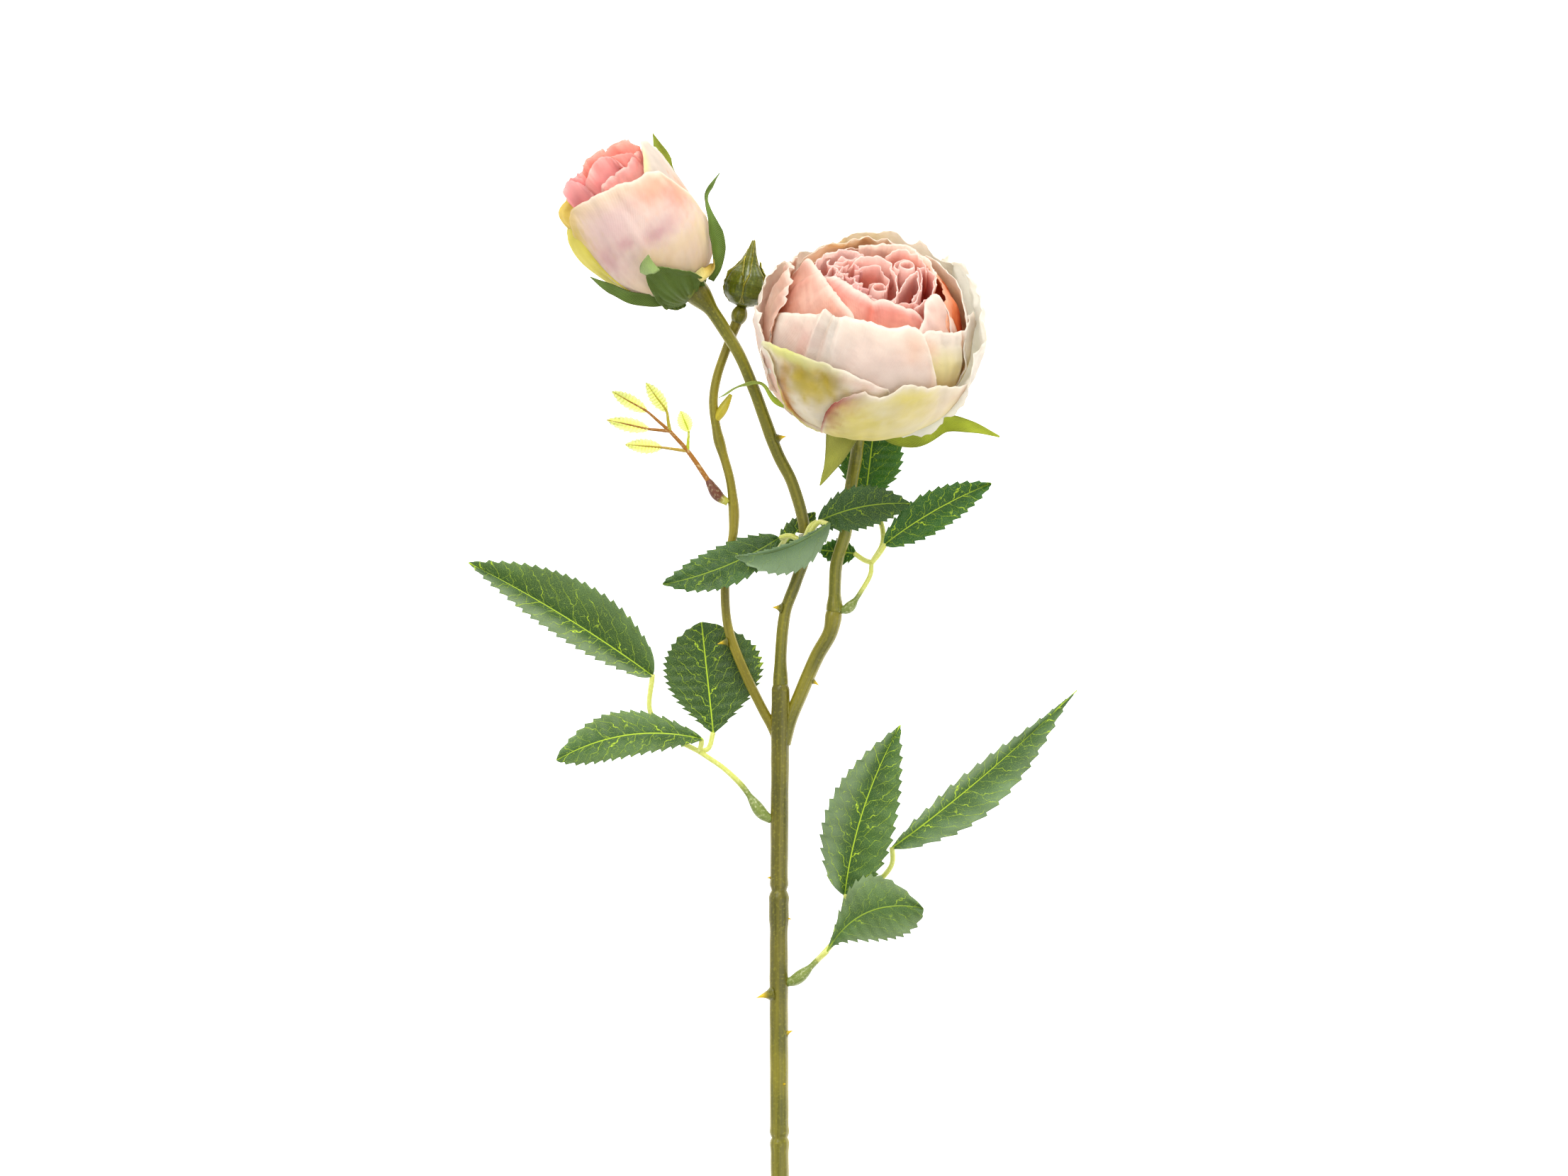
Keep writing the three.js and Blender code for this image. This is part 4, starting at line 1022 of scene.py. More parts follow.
# The heart of the full bloom: quartered folds that stand in its opening.
PINK_RIM = 0xFBE1DA
FULL_HEART = {
    "inner_petal_1": [
        dict(
            path=[(-19, -1, 20.5), (-19.5, -7, 21.5), (-16, -12.5, 22), (-9, -15, 22.5), (-4, -13, 22.5)],
            depth=12, seed=301, rim=0xFBE4DD, body=0xF9DAD2,
        ),
        dict(
            path=[(-17.5, 1, 20.5), (-14.5, -3.6, 22), (-11, -7.5, 22.6), (-6, -11, 22.8)], depth=12,
            seed=302, rim=0xFBE4DD, body=0xFADDD5, bulge=0.8,
        ),
    ],
    "inner_petal_2": [
        dict(
            path=[
                (-6, -17.5, 22.5), (2, -19.5, 23.5), (10, -18.5, 24), (16, -13.5, 23.5), (19.5, -7, 22.5),
                (20.5, 0, 21.5),
            ],
            depth=14, seed=311, rim=0xFBE9DE, body=PEACH, lean=-1.5,
        ),
        dict(
            path=[(3, -12, 23.2), (6, -15.5, 24), (11, -15.5, 24), (15, -11.5, 23.5), (17, -6, 22.5)],
            depth=13, seed=312, rim=0xFADFD6, body=SALMON,
        ),
    ],
    "inner_petal_3": [
        dict(
            path=[
                (13.5, -8, 22.8), (17, -8.5, 22.8), (19.2, -3, 22), (18.6, 4, 21.2), (16.6, 9, 20.5),
                (13.5, 13, 20.2),
            ],
            depth=12, seed=321, rim=PINK_RIM, body=ROSE,
        ),
        dict(
            path=[(14.2, -7.5, 23), (15.4, -1, 22), (14.8, 5.5, 21.2), (12.6, 11, 20.6)], depth=12, seed=322,
            rim=PINK_RIM, body=0xF8D8D1, lean=0.6,
        ),
    ],
    "heart_petal_1": [
        dict(
            path=[
                (-8.5, -4.5, 23), (-5.5, -8, 24), (0, -9.5, 24.4), (4, -7.5, 24.2), (6.2, -2, 23.4),
                (7.6, 4, 22.4), (6.6, 9.6, 21.4), (4.4, 12, 21),
            ],
            depth=13, seed=331, rim=0xFBE3DB, body=0xF9D8CF, bulge=1.0,
        ),
        dict(
            path=[
                (-6.6, -2.6, 22.6), (-3, -5.6, 23.2), (1, -5.4, 23.2), (3.4, -1.6, 22.6), (4.8, 4, 21.8),
                (3.6, 8.6, 21.2),
            ],
            depth=12, seed=332, rim=0xFADDD5, body=SALMON,
        ),
        dict(
            centre=(1.6, 4.6), radius=2.9, height=21.2, depth=10, seed=333, start=200, rim=0xFBE2DA,
            body=0xF9D6CE,
        ),
    ],
    "heart_petal_2": [
        dict(
            centre=(9.8, -7.2), radius=3.7, height=23.4, depth=12, seed=341, start=120, rim=0xFBE2DA,
            body=0xF8D5CD,
        ),
        dict(
            path=[
                (6.4, 11.5, 20.4), (8.4, 6, 21.6), (11, 0.5, 22.8), (13.6, -4.2, 23.6), (14.4, -1, 22.6),
                (13.8, 5, 21.4), (12.4, 9.6, 20.6),
            ],
            depth=11, seed=342, rim=0xFBE5DE, body=0xFADBD4, bulge=0.9,
        ),
        dict(
            path=[(5.2, 13.2, 20.2), (9, 11.8, 20.6), (13, 10.6, 20.4), (15.4, 11.8, 19.8)], depth=8,
            seed=343, rim=0xFAD9CF, body=SALMON,
        ),
    ],
}
heart_pieces(FULL, "full_bloom_", FULL_HEART)

# The small crumpled folds on the left of the heart: across, forward, direction in degrees and length.
CRUMPLES = [
    (-12.5, -6.0, 15, 7), (-10.5, -3.4, 40, 6), (-8.2, -0.8, 10, 6), (-9.6, -8.6, -20, 6), (-6.0, 1.6, 55, 5),
    (-4.6, 4.4, 20, 6), (-2.6, 7.6, 40, 6), (-11.6, -0.4, 60, 5), (-7.0, 4.8, 35, 6), (-13.4, -2.6, 70, 5),
    (-1.2, 10.4, 15, 6), (-5.4, -5.4, 30, 4),
]
heart = Shape()
for k, (a, b, way, long) in enumerate(CRUMPLES):
    rng = np.random.default_rng(400 + k)
    direction = np.array([math.cos(math.radians(way)), math.sin(math.radians(way))])
    across = np.array([-direction[1], direction[0]])
    h = 22.6 - 0.13 * (b + 8)
    path = []
    for t in (-0.5, -0.17, 0.17, 0.5):
        point = np.array([a, b]) + direction * long * t + across * rng.uniform(-1.1, 1.1)
        path.append((*point, h + rng.uniform(-0.5, 0.5)))
    tone = [(0xFBE1DA, 0xF8D5CD), (0xFBE6DE, 0xFADAD1), (0xFADAD5, 0xF7CDC9)][k % 3]
    ribbon(heart, FULL, path, 9, 410 + 7 * k, rim=tone[0], body=tone[1], ruffle=0.9, rows=16)
heart.piece("full_bloom_heart_petal_3", PINK, "pink_petal_fabric")

# ---- Half-open bloom ------------------------------------------------------------------------------------

MAUVE = 0xD49CA6
HALF_PETALS = {
    # The big printed front petal.
    "outer_petal_1": dict(
        radius=20.6,
        outline=[
            (186, 12), (182, 50), (181, 76), (179, 92), (172, 102), (164, 113), (156, 122), (144, 127),
            (128, 127.5), (113, 127), (98, 125.5), (85, 124), (74, 120), (66, 119.5), (59, 119.5), (52, 117),
            (44, 115), (38, 104), (28, 90), (17, 78), (10, 64), (4, 40), (2, 12),
        ],
        outside=[(0, 0xEFE2A0), (0.3, 0xF4E6C4), (0.55, 0xF1E1D6), (0.85, 0xF0DCD2), (1, 0xF1E3C4)],
        inside=CORAL_IN, seed=501, tilt=-0.6,
        spots=[
            (166, 108, 20, 20, 0xD8C23C, 0.9), (178, 88, 12, 24, 0xE4DA80, 0.8),
            (62, 106, 20, 10, 0xF4B698, 0.8), (42, 94, 11, 12, 0xF0A084, 0.75), (113, 88, 9, 5, MAUVE, 0.65),
            (84, 81, 15, 6, MAUVE, 0.6), (140, 84, 13, 11, MAUVE, 0.6), (66, 82, 8, 5, MAUVE, 0.4),
            (120, 104, 26, 9, 0xEBCFD0, 0.5), (100, 68, 12, 8, 0xF2DFA4, 0.6), (58, 84, 6, 8, 0xE6BFB4, 0.5),
            (66, 66, 26, 8, 0xF4E2B2, 0.6), (90, 54, 16, 12, 0xF0D8A4, 0.5),
            (110, 100, 18, 10, 0xF4DAD8, 0.6), (30, 60, 16, 16, 0xF0E2AE, 0.8),
        ],
        curl=0.35, ruffle=0.3, tear=0.35, wrinkle=0.14, edge=(0xDDC680, 160, 26),
    ),
    # The white petal on the right.
    "outer_petal_2": dict(
        radius=19.4,
        outline=[
            (78, 12), (76, 60), (70, 105), (60, 118), (54, 124), (46, 131), (37, 140), (27, 148), (16, 143),
            (6, 135), (-6, 126), (-20, 112), (-34, 84), (-40, 40), (-42, 12),
        ],
        outside=[(0, 0xEFE0A8), (0.5, 0xE2D2C4), (1, 0xD8D0C4)],
        inside=[(0, CORAL), (0.6, 0xF6D8C8), (1, WHITE)], seed=512, tilt=0.2, ruffle=0.2, tear=0.25,
        wrinkle=0.12, curl=0.3, edge=(0xEFE4A8, 50, 14), spots=[(18, 84, 10, 20, 0xD8945A, 0.7)],
    ),
    "outer_petal_3": dict(
        radius=19.8,
        outline=[
            (-30, 12), (-34, 60), (-42, 100), (-52, 124), (-66, 132), (-84, 134), (-102, 131), (-118, 124),
            (-128, 104), (-132, 60), (-134, 12),
        ],
        outside=[(0, 0xEFE0A8), (0.5, 0xF4E2CC), (1, 0xF5E6DC)], inside=CORAL_IN, seed=523, ruffle=0.5,
    ),
    # The yellow petal on the left, rolled outwards.
    "outer_petal_4": dict(
        radius=20.2,
        outline=[
            (236, 12), (234, 60), (226, 94), (214, 110), (202, 118), (190, 121), (178, 120), (168, 116),
            (158, 106), (154, 50), (154, 12),
        ],
        outside=[(0, 0xE9DD84), (0.6, LEMON), (1, 0xE6DA62)], inside=[(0, PEACH), (0.7, YELLOW), (1, LEMON)],
        seed=534, curl=-2.2, ruffle=0.3, tear=0.3, pushes=[(184, 98, 26, 22, 3.0)], lip=0xDDD048,
    ),
    "inner_petal_1": dict(
        radius=18.2,
        outline=[
            (232, 12), (228, 80), (220, 124), (210, 136), (198, 143), (186, 144), (174, 142), (162, 138),
            (152, 130), (144, 100), (142, 12),
        ],
        outside=[(0, 0xE9DD84), (0.75, 0xEBDC7C), (1, 0xE4D26A)],
        inside=[(0, PEACH), (0.7, 0xF0DE9A), (1, LEMON)], seed=545, curl=-2.2, ruffle=0.3,
        pushes=[(186, 124, 24, 18, 3.4)], lip=0xDDD048,
    ),
    "inner_petal_2": dict(
        radius=16.6,
        outline=[
            (120, 12), (118, 90), (110, 130), (98, 140), (80, 143), (64, 142), (52, 145), (40, 148),
            (26, 150), (12, 148), (0, 140), (-10, 110), (-14, 12),
        ],
        outside=[(0, CORAL), (0.7, SALMON), (1, ROSE)], inside=CORAL_OUT, seed=556, ruffle=0.6,
    ),
    "inner_petal_3": dict(
        radius=16.8,
        outline=[
            (-6, 12), (-10, 90), (-22, 132), (-40, 144), (-62, 148), (-86, 149), (-110, 146), (-130, 138),
            (-142, 110), (-146, 12),
        ],
        outside=[(0, CORAL), (0.7, SALMON), (1, PEACH)], inside=CORAL_OUT, seed=567, ruffle=0.7,
    ),
}
for key, spec in HALF_PETALS.items():
    fabric = (PINK, "pink_petal_fabric") if key.startswith("inner") else (PETAL, "pale_petal_fabric")
    petal(HALF, foot=10.0, **spec).piece("half_bloom_" + key, *fabric)

HALF_HEART = {
    "heart_petal_1": [
        dict(
            path=[(-15.4, 2, 19), (-15, 7.5, 22.6), (-12, 10.8, 25.6), (-9.2, 12, 23.5), (-7.4, 12.4, 19)],
            depth=14, seed=601, rim=0xF5C5C3, body=0xF0B1B2, deep=0xE89896, bulge=0.6,
        ),
        dict(
            path=[(-13.4, 1, 23.4), (-10.4, 6, 25.4), (-7.6, 9, 23.6)], depth=12, seed=602, rim=0xF5BFBB,
            body=0xEEA4A2, deep=0xE3887B,
        ),
        dict(
            path=[
                (-13, -3, 22), (-10.5, -8.5, 23), (-5, -12, 23), (1, -12.6, 22.5), (7, -10, 22), (11, -4, 22),
            ],
            depth=16, seed=603, rim=0xF6C4BE, body=0xF2A8A4,
        ),
        dict(
            centre=(-6, -3.6), radius=4.6, height=24, depth=14, seed=604, start=40, rim=0xF7C8C4,
            body=0xF3AFAC,
        ),
    ],
    "heart_petal_2": [
        dict(
            path=[
                (-8.6, 10, 19), (-6.6, 12.6, 22.4), (-2.4, 13.6, 25.4), (1.4, 13, 26.2), (4.4, 12.6, 24),
                (5.2, 13.4, 20),
            ],
            depth=15, seed=611, rim=0xF7C6C0, body=0xF1B2B0, deep=0xE68E7E, bulge=1.4,
        ),
        dict(
            path=[
                (-6.4, 7, 24.8), (-3.6, 9.4, 27), (0, 9.8, 27.8), (3, 7, 27.8), (3, 3, 27.4), (-1, 2, 27.6),
                (-5, 3.4, 26.8),
            ],
            depth=12, seed=612, rim=0xF6BFB2, body=CORAL, deep=DEEP_CORAL, bulge=0.5,
        ),
    ],
    "heart_petal_3": [
        dict(
            path=[(2.6, 10.5, 26.2), (6, 10, 27), (9.6, 9, 26.2), (12.4, 7.4, 24), (14, 5, 21)], depth=14,
            seed=621, rim=0xF5BBAD, body=0xEDA496, deep=0xE08672, bulge=1.0,
        ),
        dict(
            path=[(4.6, 12.6, 24.4), (7.4, 12.4, 23.4), (10.6, 11.4, 21.6), (12, 10.6, 18)], depth=12,
            seed=622, rim=0xF5BCB2, body=0xEEA99F, deep=0xE08672, bulge=1.2,
        ),
        dict(
            path=[(4.4, 6, 27), (8.6, 4, 26.8), (12, 0, 25.4), (12, -6, 24)], depth=12, seed=623,
            rim=0xF5C0B2, body=CORAL,
        ),
        dict(
            centre=(3.6, -4.4), radius=5.0, height=24, depth=14, seed=624, start=200, rim=0xF7C8C4,
            body=0xF3AFAC,
        ),
        dict(
            path=[(-11, 1, 23), (-6, 3, 25), (0, 0.6, 25.6), (6, 1, 25), (10.5, -1, 23.5)], depth=15,
            seed=625, rim=0xF6C4BE, body=0xF2A8A4,
        ),
    ],
}
heart_pieces(HALF, "half_bloom_", HALF_HEART)

# ---- Calyces --------------------------------------------------------------------------------------------


def strip(shape, points, widths, rolls, colours, seed, cup=0.0):
    """A narrow sheet along a curve. Its half widths and rolls in degrees are at even shares of its length."""
    centre, run = curve_through(points, 0.5)
    t = run / run[-1]
    shares = np.linspace(0, 1, len(widths))
    half = np.interp(t, shares, widths)
    turn = np.radians(np.interp(t, np.linspace(0, 1, len(rolls)), rolls))
    tangent = unit(np.gradient(centre, axis=0))
    side = unit(np.cross(tangent, [0.0, 0.0, 1.0]))
    lift = np.cross(side, tangent)
    across = side * np.cos(turn)[:, None] + lift * np.sin(turn)[:, None]
    raised = lift * np.cos(turn)[:, None] - side * np.sin(turn)[:, None]
    v = np.linspace(-1, 1, 17)
    wrinkle = 0.25 * waves(seed + 1, run[:, None], 3 * v[None, :], 9) * smooth(0, 0.3, t)[:, None]
    height = cup * half[:, None] * (v[None, :] ** 2) + wrinkle
    place = centre[:, None] + across[:, None] * (half[:, None] * v[None, :])[..., None]
    place = place + raised[:, None] * height[..., None]
    base = blended(colours, t[:, None] + 0 * v[None, :])
    base = base * (1 + 0.1 * waves(seed + 2, run[:, None], 4 * v[None, :], 7))[..., None]
    rim = (smooth(0.8, 1.0, np.abs(v))[None, :] * 0.35 + 0 * t[:, None])[..., None]
    base = base * (1 - rim)
    uv = np.stack(np.broadcast_arrays(run[:, None], half[:, None] * v[None, :]), -1)
    shape.sheet(place, base, base, uv, 0.45)


def cup_wall(shape, bloom, radius, end, colour):
    """The cup of a calyx, under the petals."""
    theta, phi = np.meshgrid(np.linspace(0, 360, 73), np.linspace(1.0, end, 12))
    place = bloom.bowl(
        radius + 0.3 * waves(7, theta, phi, 40), theta, phi + 2 * (phi / end) * np.cos(np.radians(5 * theta)),
    )
    front = np.broadcast_to(linear(colour), (*theta.shape, 3))
    uv = np.stack([np.radians(theta) * 6, np.radians(phi) * radius], -1)
    shape.sheet(place, front, front, uv, 0.6)


calyx = Shape()
cup_wall(calyx, FULL, 39.6, 14, 0x9A9C44)
foot = FULL.at(0, 0, -FLATTENING * 39.4)
strip(
    calyx, [foot + (-4, 1.5, 2), (19.5, 79.6, 18.5), (17.6, 74.4, 17.5), (13.2, 65.9, 16)],
    [5.6, 5.6, 4.4, 3.0, 1.5, 0.15], [0, -10, -14, -6], [(0, 0x98983A), (0.4, 0xB4B452), (1, 0xB2B648)], 701,
    cup=0.25,
)
strip(
    calyx, [foot + (5, 2, 3), (44, 83, 20), (54.5, 86.6, 23), (63, 85.2, 24), (72.4, 81.9, 24)],
    [5.4, 5.6, 4.2, 3.1, 1.8, 0.3], [-50, -35, -20, -10], [(0, 0x94A024), (0.4, 0xB0BE30), (1, 0xC4D03C)],
    702, cup=0.3,
)
strip(
    calyx, [foot + (-6, 3, 3), (-0.5, 93.5, 20), (-6.5, 99.6, 21), (-12.5, 99, 22), (-20.4, 94.9, 21)],
    [3.6, 3.4, 1.9, 1.1, 0.7, 0.1], [50, 45, 60, 70], [(0, 0x94A024), (0.5, 0xB4C638), (1, 0xA9BC72)], 703,
    cup=0.2,
)
strip(
    calyx, [foot + (-3, 3, -2), (18, 92, 7), (10, 104, 1.8)], [4.5, 4.4, 3.2, 0.3], [-160, -165, -170],
    [(0, 0x94A024), (1, 0xB4C03A)], 704,
)
strip(
    calyx, [foot + (3, 3, -2), (38, 92, 6), (46, 104, 2.0)], [4.5, 4.4, 3.2, 0.3], [170, 170, 170],
    [(0, 0x94A024), (1, 0xB4C03A)], 705,
)
calyx.piece("full_bloom_calyx", SEPAL, "sepal_fabric")

GREEN = [(0, 0x5F7A2E), (0.4, 0x6B8A3C), (1, 0x7B9A48)]
calyx = Shape()
cup_wall(calyx, HALF, 22.4, 20, 0x7C8A38)
foot = HALF.at(0, 0, -27.6 - 1.2)
# A narrow sepal behind the bloom and one that stands off its right side.
strip(
    calyx,
    [
        foot + (3, 3, -4), (-30, 146, 3), (-33, 160, 5), (-36.4, 167.5, 8), (-38.4, 171.3, 9.5),
        (-39.4, 175.6, 11), (-40.9, 179.1, 12), (-42.3, 182.8, 13),
    ],
    [3.0, 3.4, 3.0, 2.6, 2.4, 2.9, 0.1], [0, 0, 0, 5], [(0, 0x6B8A3C), (0.6, 0xA8BC3C), (1, 0x93AA3C)], 711,
    cup=0.2,
)
strip(
    calyx,
    [
        (-23.0, 133.6, 23), (-20.9, 138.0, 24), (-20.7, 145.0, 24.6), (-22.4, 151.8, 24.6),
        (-24.2, 158.4, 24), (-24.4, 161.8, 24), (-22.4, 165.4, 25), (-20.1, 168.8, 26),
    ],
    [1.0, 1.5, 2.3, 2.5, 1.3, 0.45, 0.8, 0.1], [-15, -10, -20, -35, -10, -20],
    [(0, 0x4C6818), (0.5, 0x4E6E20), (0.75, 0x6C8C40), (1, 0x7A9A50)], 712, cup=0.5,
)
# The broad front sepal, with its tip turned back.
front_sepal = petal(
    HALF, radius=22.4,
    outline=[
        (166, 5), (152, 18), (136, 31), (124, 45), (117, 56), (111, 64), (102, 66), (88, 57), (72, 46),
        (56, 34), (42, 24), (30, 14), (34, 5),
    ],
    outside=[(0, 0x50661A), (0.6, 0x4C6C1E), (1, 0x42601A)], inside=[(0, 0x9BB070), (1, 0xA9BF84)], seed=721,
    curl=1.0, ruffle=0.25, tear=0.25, foot=4.0, thickness=0.5, wrinkle=0.35, tilt=0.5, lip=None,
)
calyx.join(front_sepal)
strip(
    calyx, [(-41.6, 138.4, 42.6), (-43.6, 136.6, 43.4), (-45.0, 134.8, 42.4)], [3.2, 3.0, 1.0], [10, 20, 20],
    [(0, 0x8DA862), (1, 0xA6BC84)], 722, cup=0.3,
)
strip(
    calyx, [foot + (-4, 1, 4), (-41, 127.4, 24), (-49, 128.0, 25), (-57.0, 131.4, 24), (-62.8, 134.6, 23)],
    [2.8, 2.5, 2.3, 1.8, 0.1], [20, 35, 30, 20], [(0, 0x465F14), (0.5, 0x4C6A1C), (1, 0x62803A)], 731,
    cup=0.35,
)
strip(calyx, [foot + (0, 3, -3), (-32, 136, 4), (-40, 146, 1.6)], [3.5, 4.2, 0.4], [175, 175], GREEN, 741)
# The torn yellow fold at the foot of the white petal.
strip(
    calyx, [(-27.0, 133.6, 28), (-23.4, 136.0, 26.6), (-21.4, 139.4, 23)], [2.0, 2.9, 1.6], [20, 50, 85],
    [(0, 0xE9DB98), (0.6, 0xD2B04C), (1, 0xA8842E)], 751, cup=0.7,
)
calyx.piece("half_bloom_calyx", SEPAL, "sepal_fabric")

# ---- Closed bud -----------------------------------------------------------------------------------------


def bud_outline(radius, phi):
    t = np.clip(phi / 180, 0, 1)
    shares = [0, 0.06, 0.18, 0.34, 0.48, 0.6, 0.78, 1]
    radii = [0.05, 0.66, 0.97, 1.02, 0.84, 0.5, 0.22, 0.04]
    return radius * np.interp(t, shares, radii), 23.6 * t - 0.3


BUD_BLOOM = Bloom(BUD_FOOT, (0.17, 0.97, 0.12), bud_outline)
bud = Shape()
theta, phi = np.meshgrid(np.linspace(0, 360, 97), np.linspace(0, 172, 70))
ribs = 0.35 * np.cos(np.radians(5 * theta + 0.35 * phi)) + 0.2 * waves(61, theta * 0.4, phi * 0.15, 9)
place = BUD_BLOOM.bowl(6.2 + ribs, theta + 0.25 * phi, phi)
tone = blended([(0, 0x5E6420), (0.5, 0x565E1E), (1, 0x7C7A28)], phi / 180)
bud.sheet(place, tone, tone, np.stack([np.radians(theta) * 6, phi / 8], -1), 0.4)
for k, (turn, top, wide) in enumerate(
    [(60, 178, 34), (132, 132, 36), (204, 150, 36), (276, 168, 36), (348, 122, 36)],
):
    rim = [
        (turn - 0.6 * wide, 4), (turn - wide, 30), (turn - wide, 64), (turn - 0.7 * wide, 96),
        (turn - 0.25 * wide, top - 12), (turn, top), (turn + 0.25 * wide, top - 12), (turn + 0.7 * wide, 96),
        (turn + wide, 64), (turn + wide, 30), (turn + 0.6 * wide, 4),
    ]
    sepal = petal(
        BUD_BLOOM, radius=6.9, outline=rim,
        outside=[(0, 0x5C6210), (0.5, 0x4C560A), (0.88, 0x5A5E10), (1, 0x8C8418)],
        inside=[(0, 0x545C10), (1, 0x84801A)], seed=801 + k, curl=0.7, ruffle=0.35, tear=0.5, foot=3.0,
        thickness=0.55, wrinkle=0.15, lip=None, edge=(0xC8BA1E, turn, 9),
        pleats=[(turn, 6, 0.35), (turn - 18, 5, 0.2), (turn + 18, 5, 0.2)], pushes=[(turn, top, 14, 12, 0.8)],
        rows=40, columns=60,
    )
    bud.join(sepal)
bud.piece("closed_bud", BUD, "bud_plastic")

# ---- Leaves ---------------------------------------------------------------------------------------------

DARK_LEAF = [0x24420D, 0x375322, 0x536B3D]
VIVID_LEAF = [0x154C04, 0x225C0A, 0x3A6C24]
PALE_LEAF = [0x586E51, 0x64795A, 0x768B6C]


def leaflet(
    shape, base, tip, width, tones, seed, bow=0.0, arch=0.0, fold=0.0, roll=0.0, twist=0.0, teeth=15,
    curl=0.0, rows=190, columns=45, cut=1.0, vein=1.0, halves=(1.0, 1.0), ends=(0.62, 0.78), painted_sheen_side=0,
):
    """A serrated leaflet. tones are its colours beside the midrib, in the middle and at the edge, the paler edge
    partly print and partly painted sheen.
    """
    base, tip = np.array(base, float), np.array(tip, float)
    length = np.linalg.norm(tip - base)
    along = (tip - base) / length
    side = unit(np.cross(along, [0.0, 0.0, 1.0]))
    up = np.cross(side, along)
    u = np.linspace(0.0, 1, rows)[:, None]
    v = np.linspace(-1, 1, columns)[None, :]
    turn = np.radians(roll + twist * u)[..., None]
    across = side * np.cos(turn) + up * np.sin(turn)
    raised = up * np.cos(turn) - side * np.sin(turn)
    hump = 4 * u * (1 - u)
    a, b = ends
    widest = a / (a + b)
    profile = np.maximum((u / widest) ** a * ((1 - u) / (1 - widest)) ** b, 0.01)
    half = width / 2 * profile * np.where(v < 0, halves[0], halves[1])
    saw = (u * teeth + 0.15 * np.sin(9 * u) + 0.3 * np.sign(v)) % 1.0
    bite = 0.68 + 0.028 * width
    tooth = (saw**1.4 - 0.75) * bite * smooth(0.04, 0.14, u) * (1 - smooth(0.93, 1, u)) * cut
    outer = smooth(0.7, 1.0, np.abs(v))
    reach = half * v + np.sign(v) * tooth * outer
    push = 0.012 * length * outer * smooth(0.04, 0.2, u) * (1 - u) * cut
    height = half * np.abs(v) * math.sin(math.radians(fold))
    slant = u * 11 - 0.35 * np.abs(v)
    quilting = np.sin(2 * math.pi * slant) * smooth(0.05, 0.3, np.abs(v)) * (1 - outer)
    height = height - 0.22 * vein * hill(v, 0, 0.06) + 0.16 * vein * quilting
    height = height + 0.6 * waves(seed, u * length, v * half * 1.3, 24) * smooth(0.1, 0.5, np.abs(v))
    height = height - curl * v**2 * half * 0.3 + 0.35 * outer * waves(seed + 1, u * length, 0 * v, 8)
    place = (
        base
        + along * ((length * u + push)[..., None])
        + side * ((bow * hump + 0 * v)[..., None])
        + up * ((arch * hump + 0 * v)[..., None])
        + across * (reach * math.cos(math.radians(fold)))[..., None]
        + raised * height[..., None]
    )
    colour = blended([(0, tones[0]), (0.45, tones[1]), (1, tones[2])], np.abs(v) + 0 * u)
    colour = colour * (1 + 0.14 * waves(seed + 2, u * length, v * half, 18))[..., None]
    # painted sheen: one half of the blade is paled towards grey-green
    if painted_sheen_side:
        mask = (0.55 * smooth(0.1, 0.7, v * painted_sheen_side) + 0 * u)[..., None]
        colour = colour * (1 - mask) + linear(0x758567) * mask
    under = blended([(0, PALE_LEAF[0]), (1, PALE_LEAF[2])], np.abs(v) + 0 * u)
    uv = np.stack(np.broadcast_arrays(length * u, half * v), -1)
    shape.sheet(place, colour, under, uv, 0.4, 0.6)


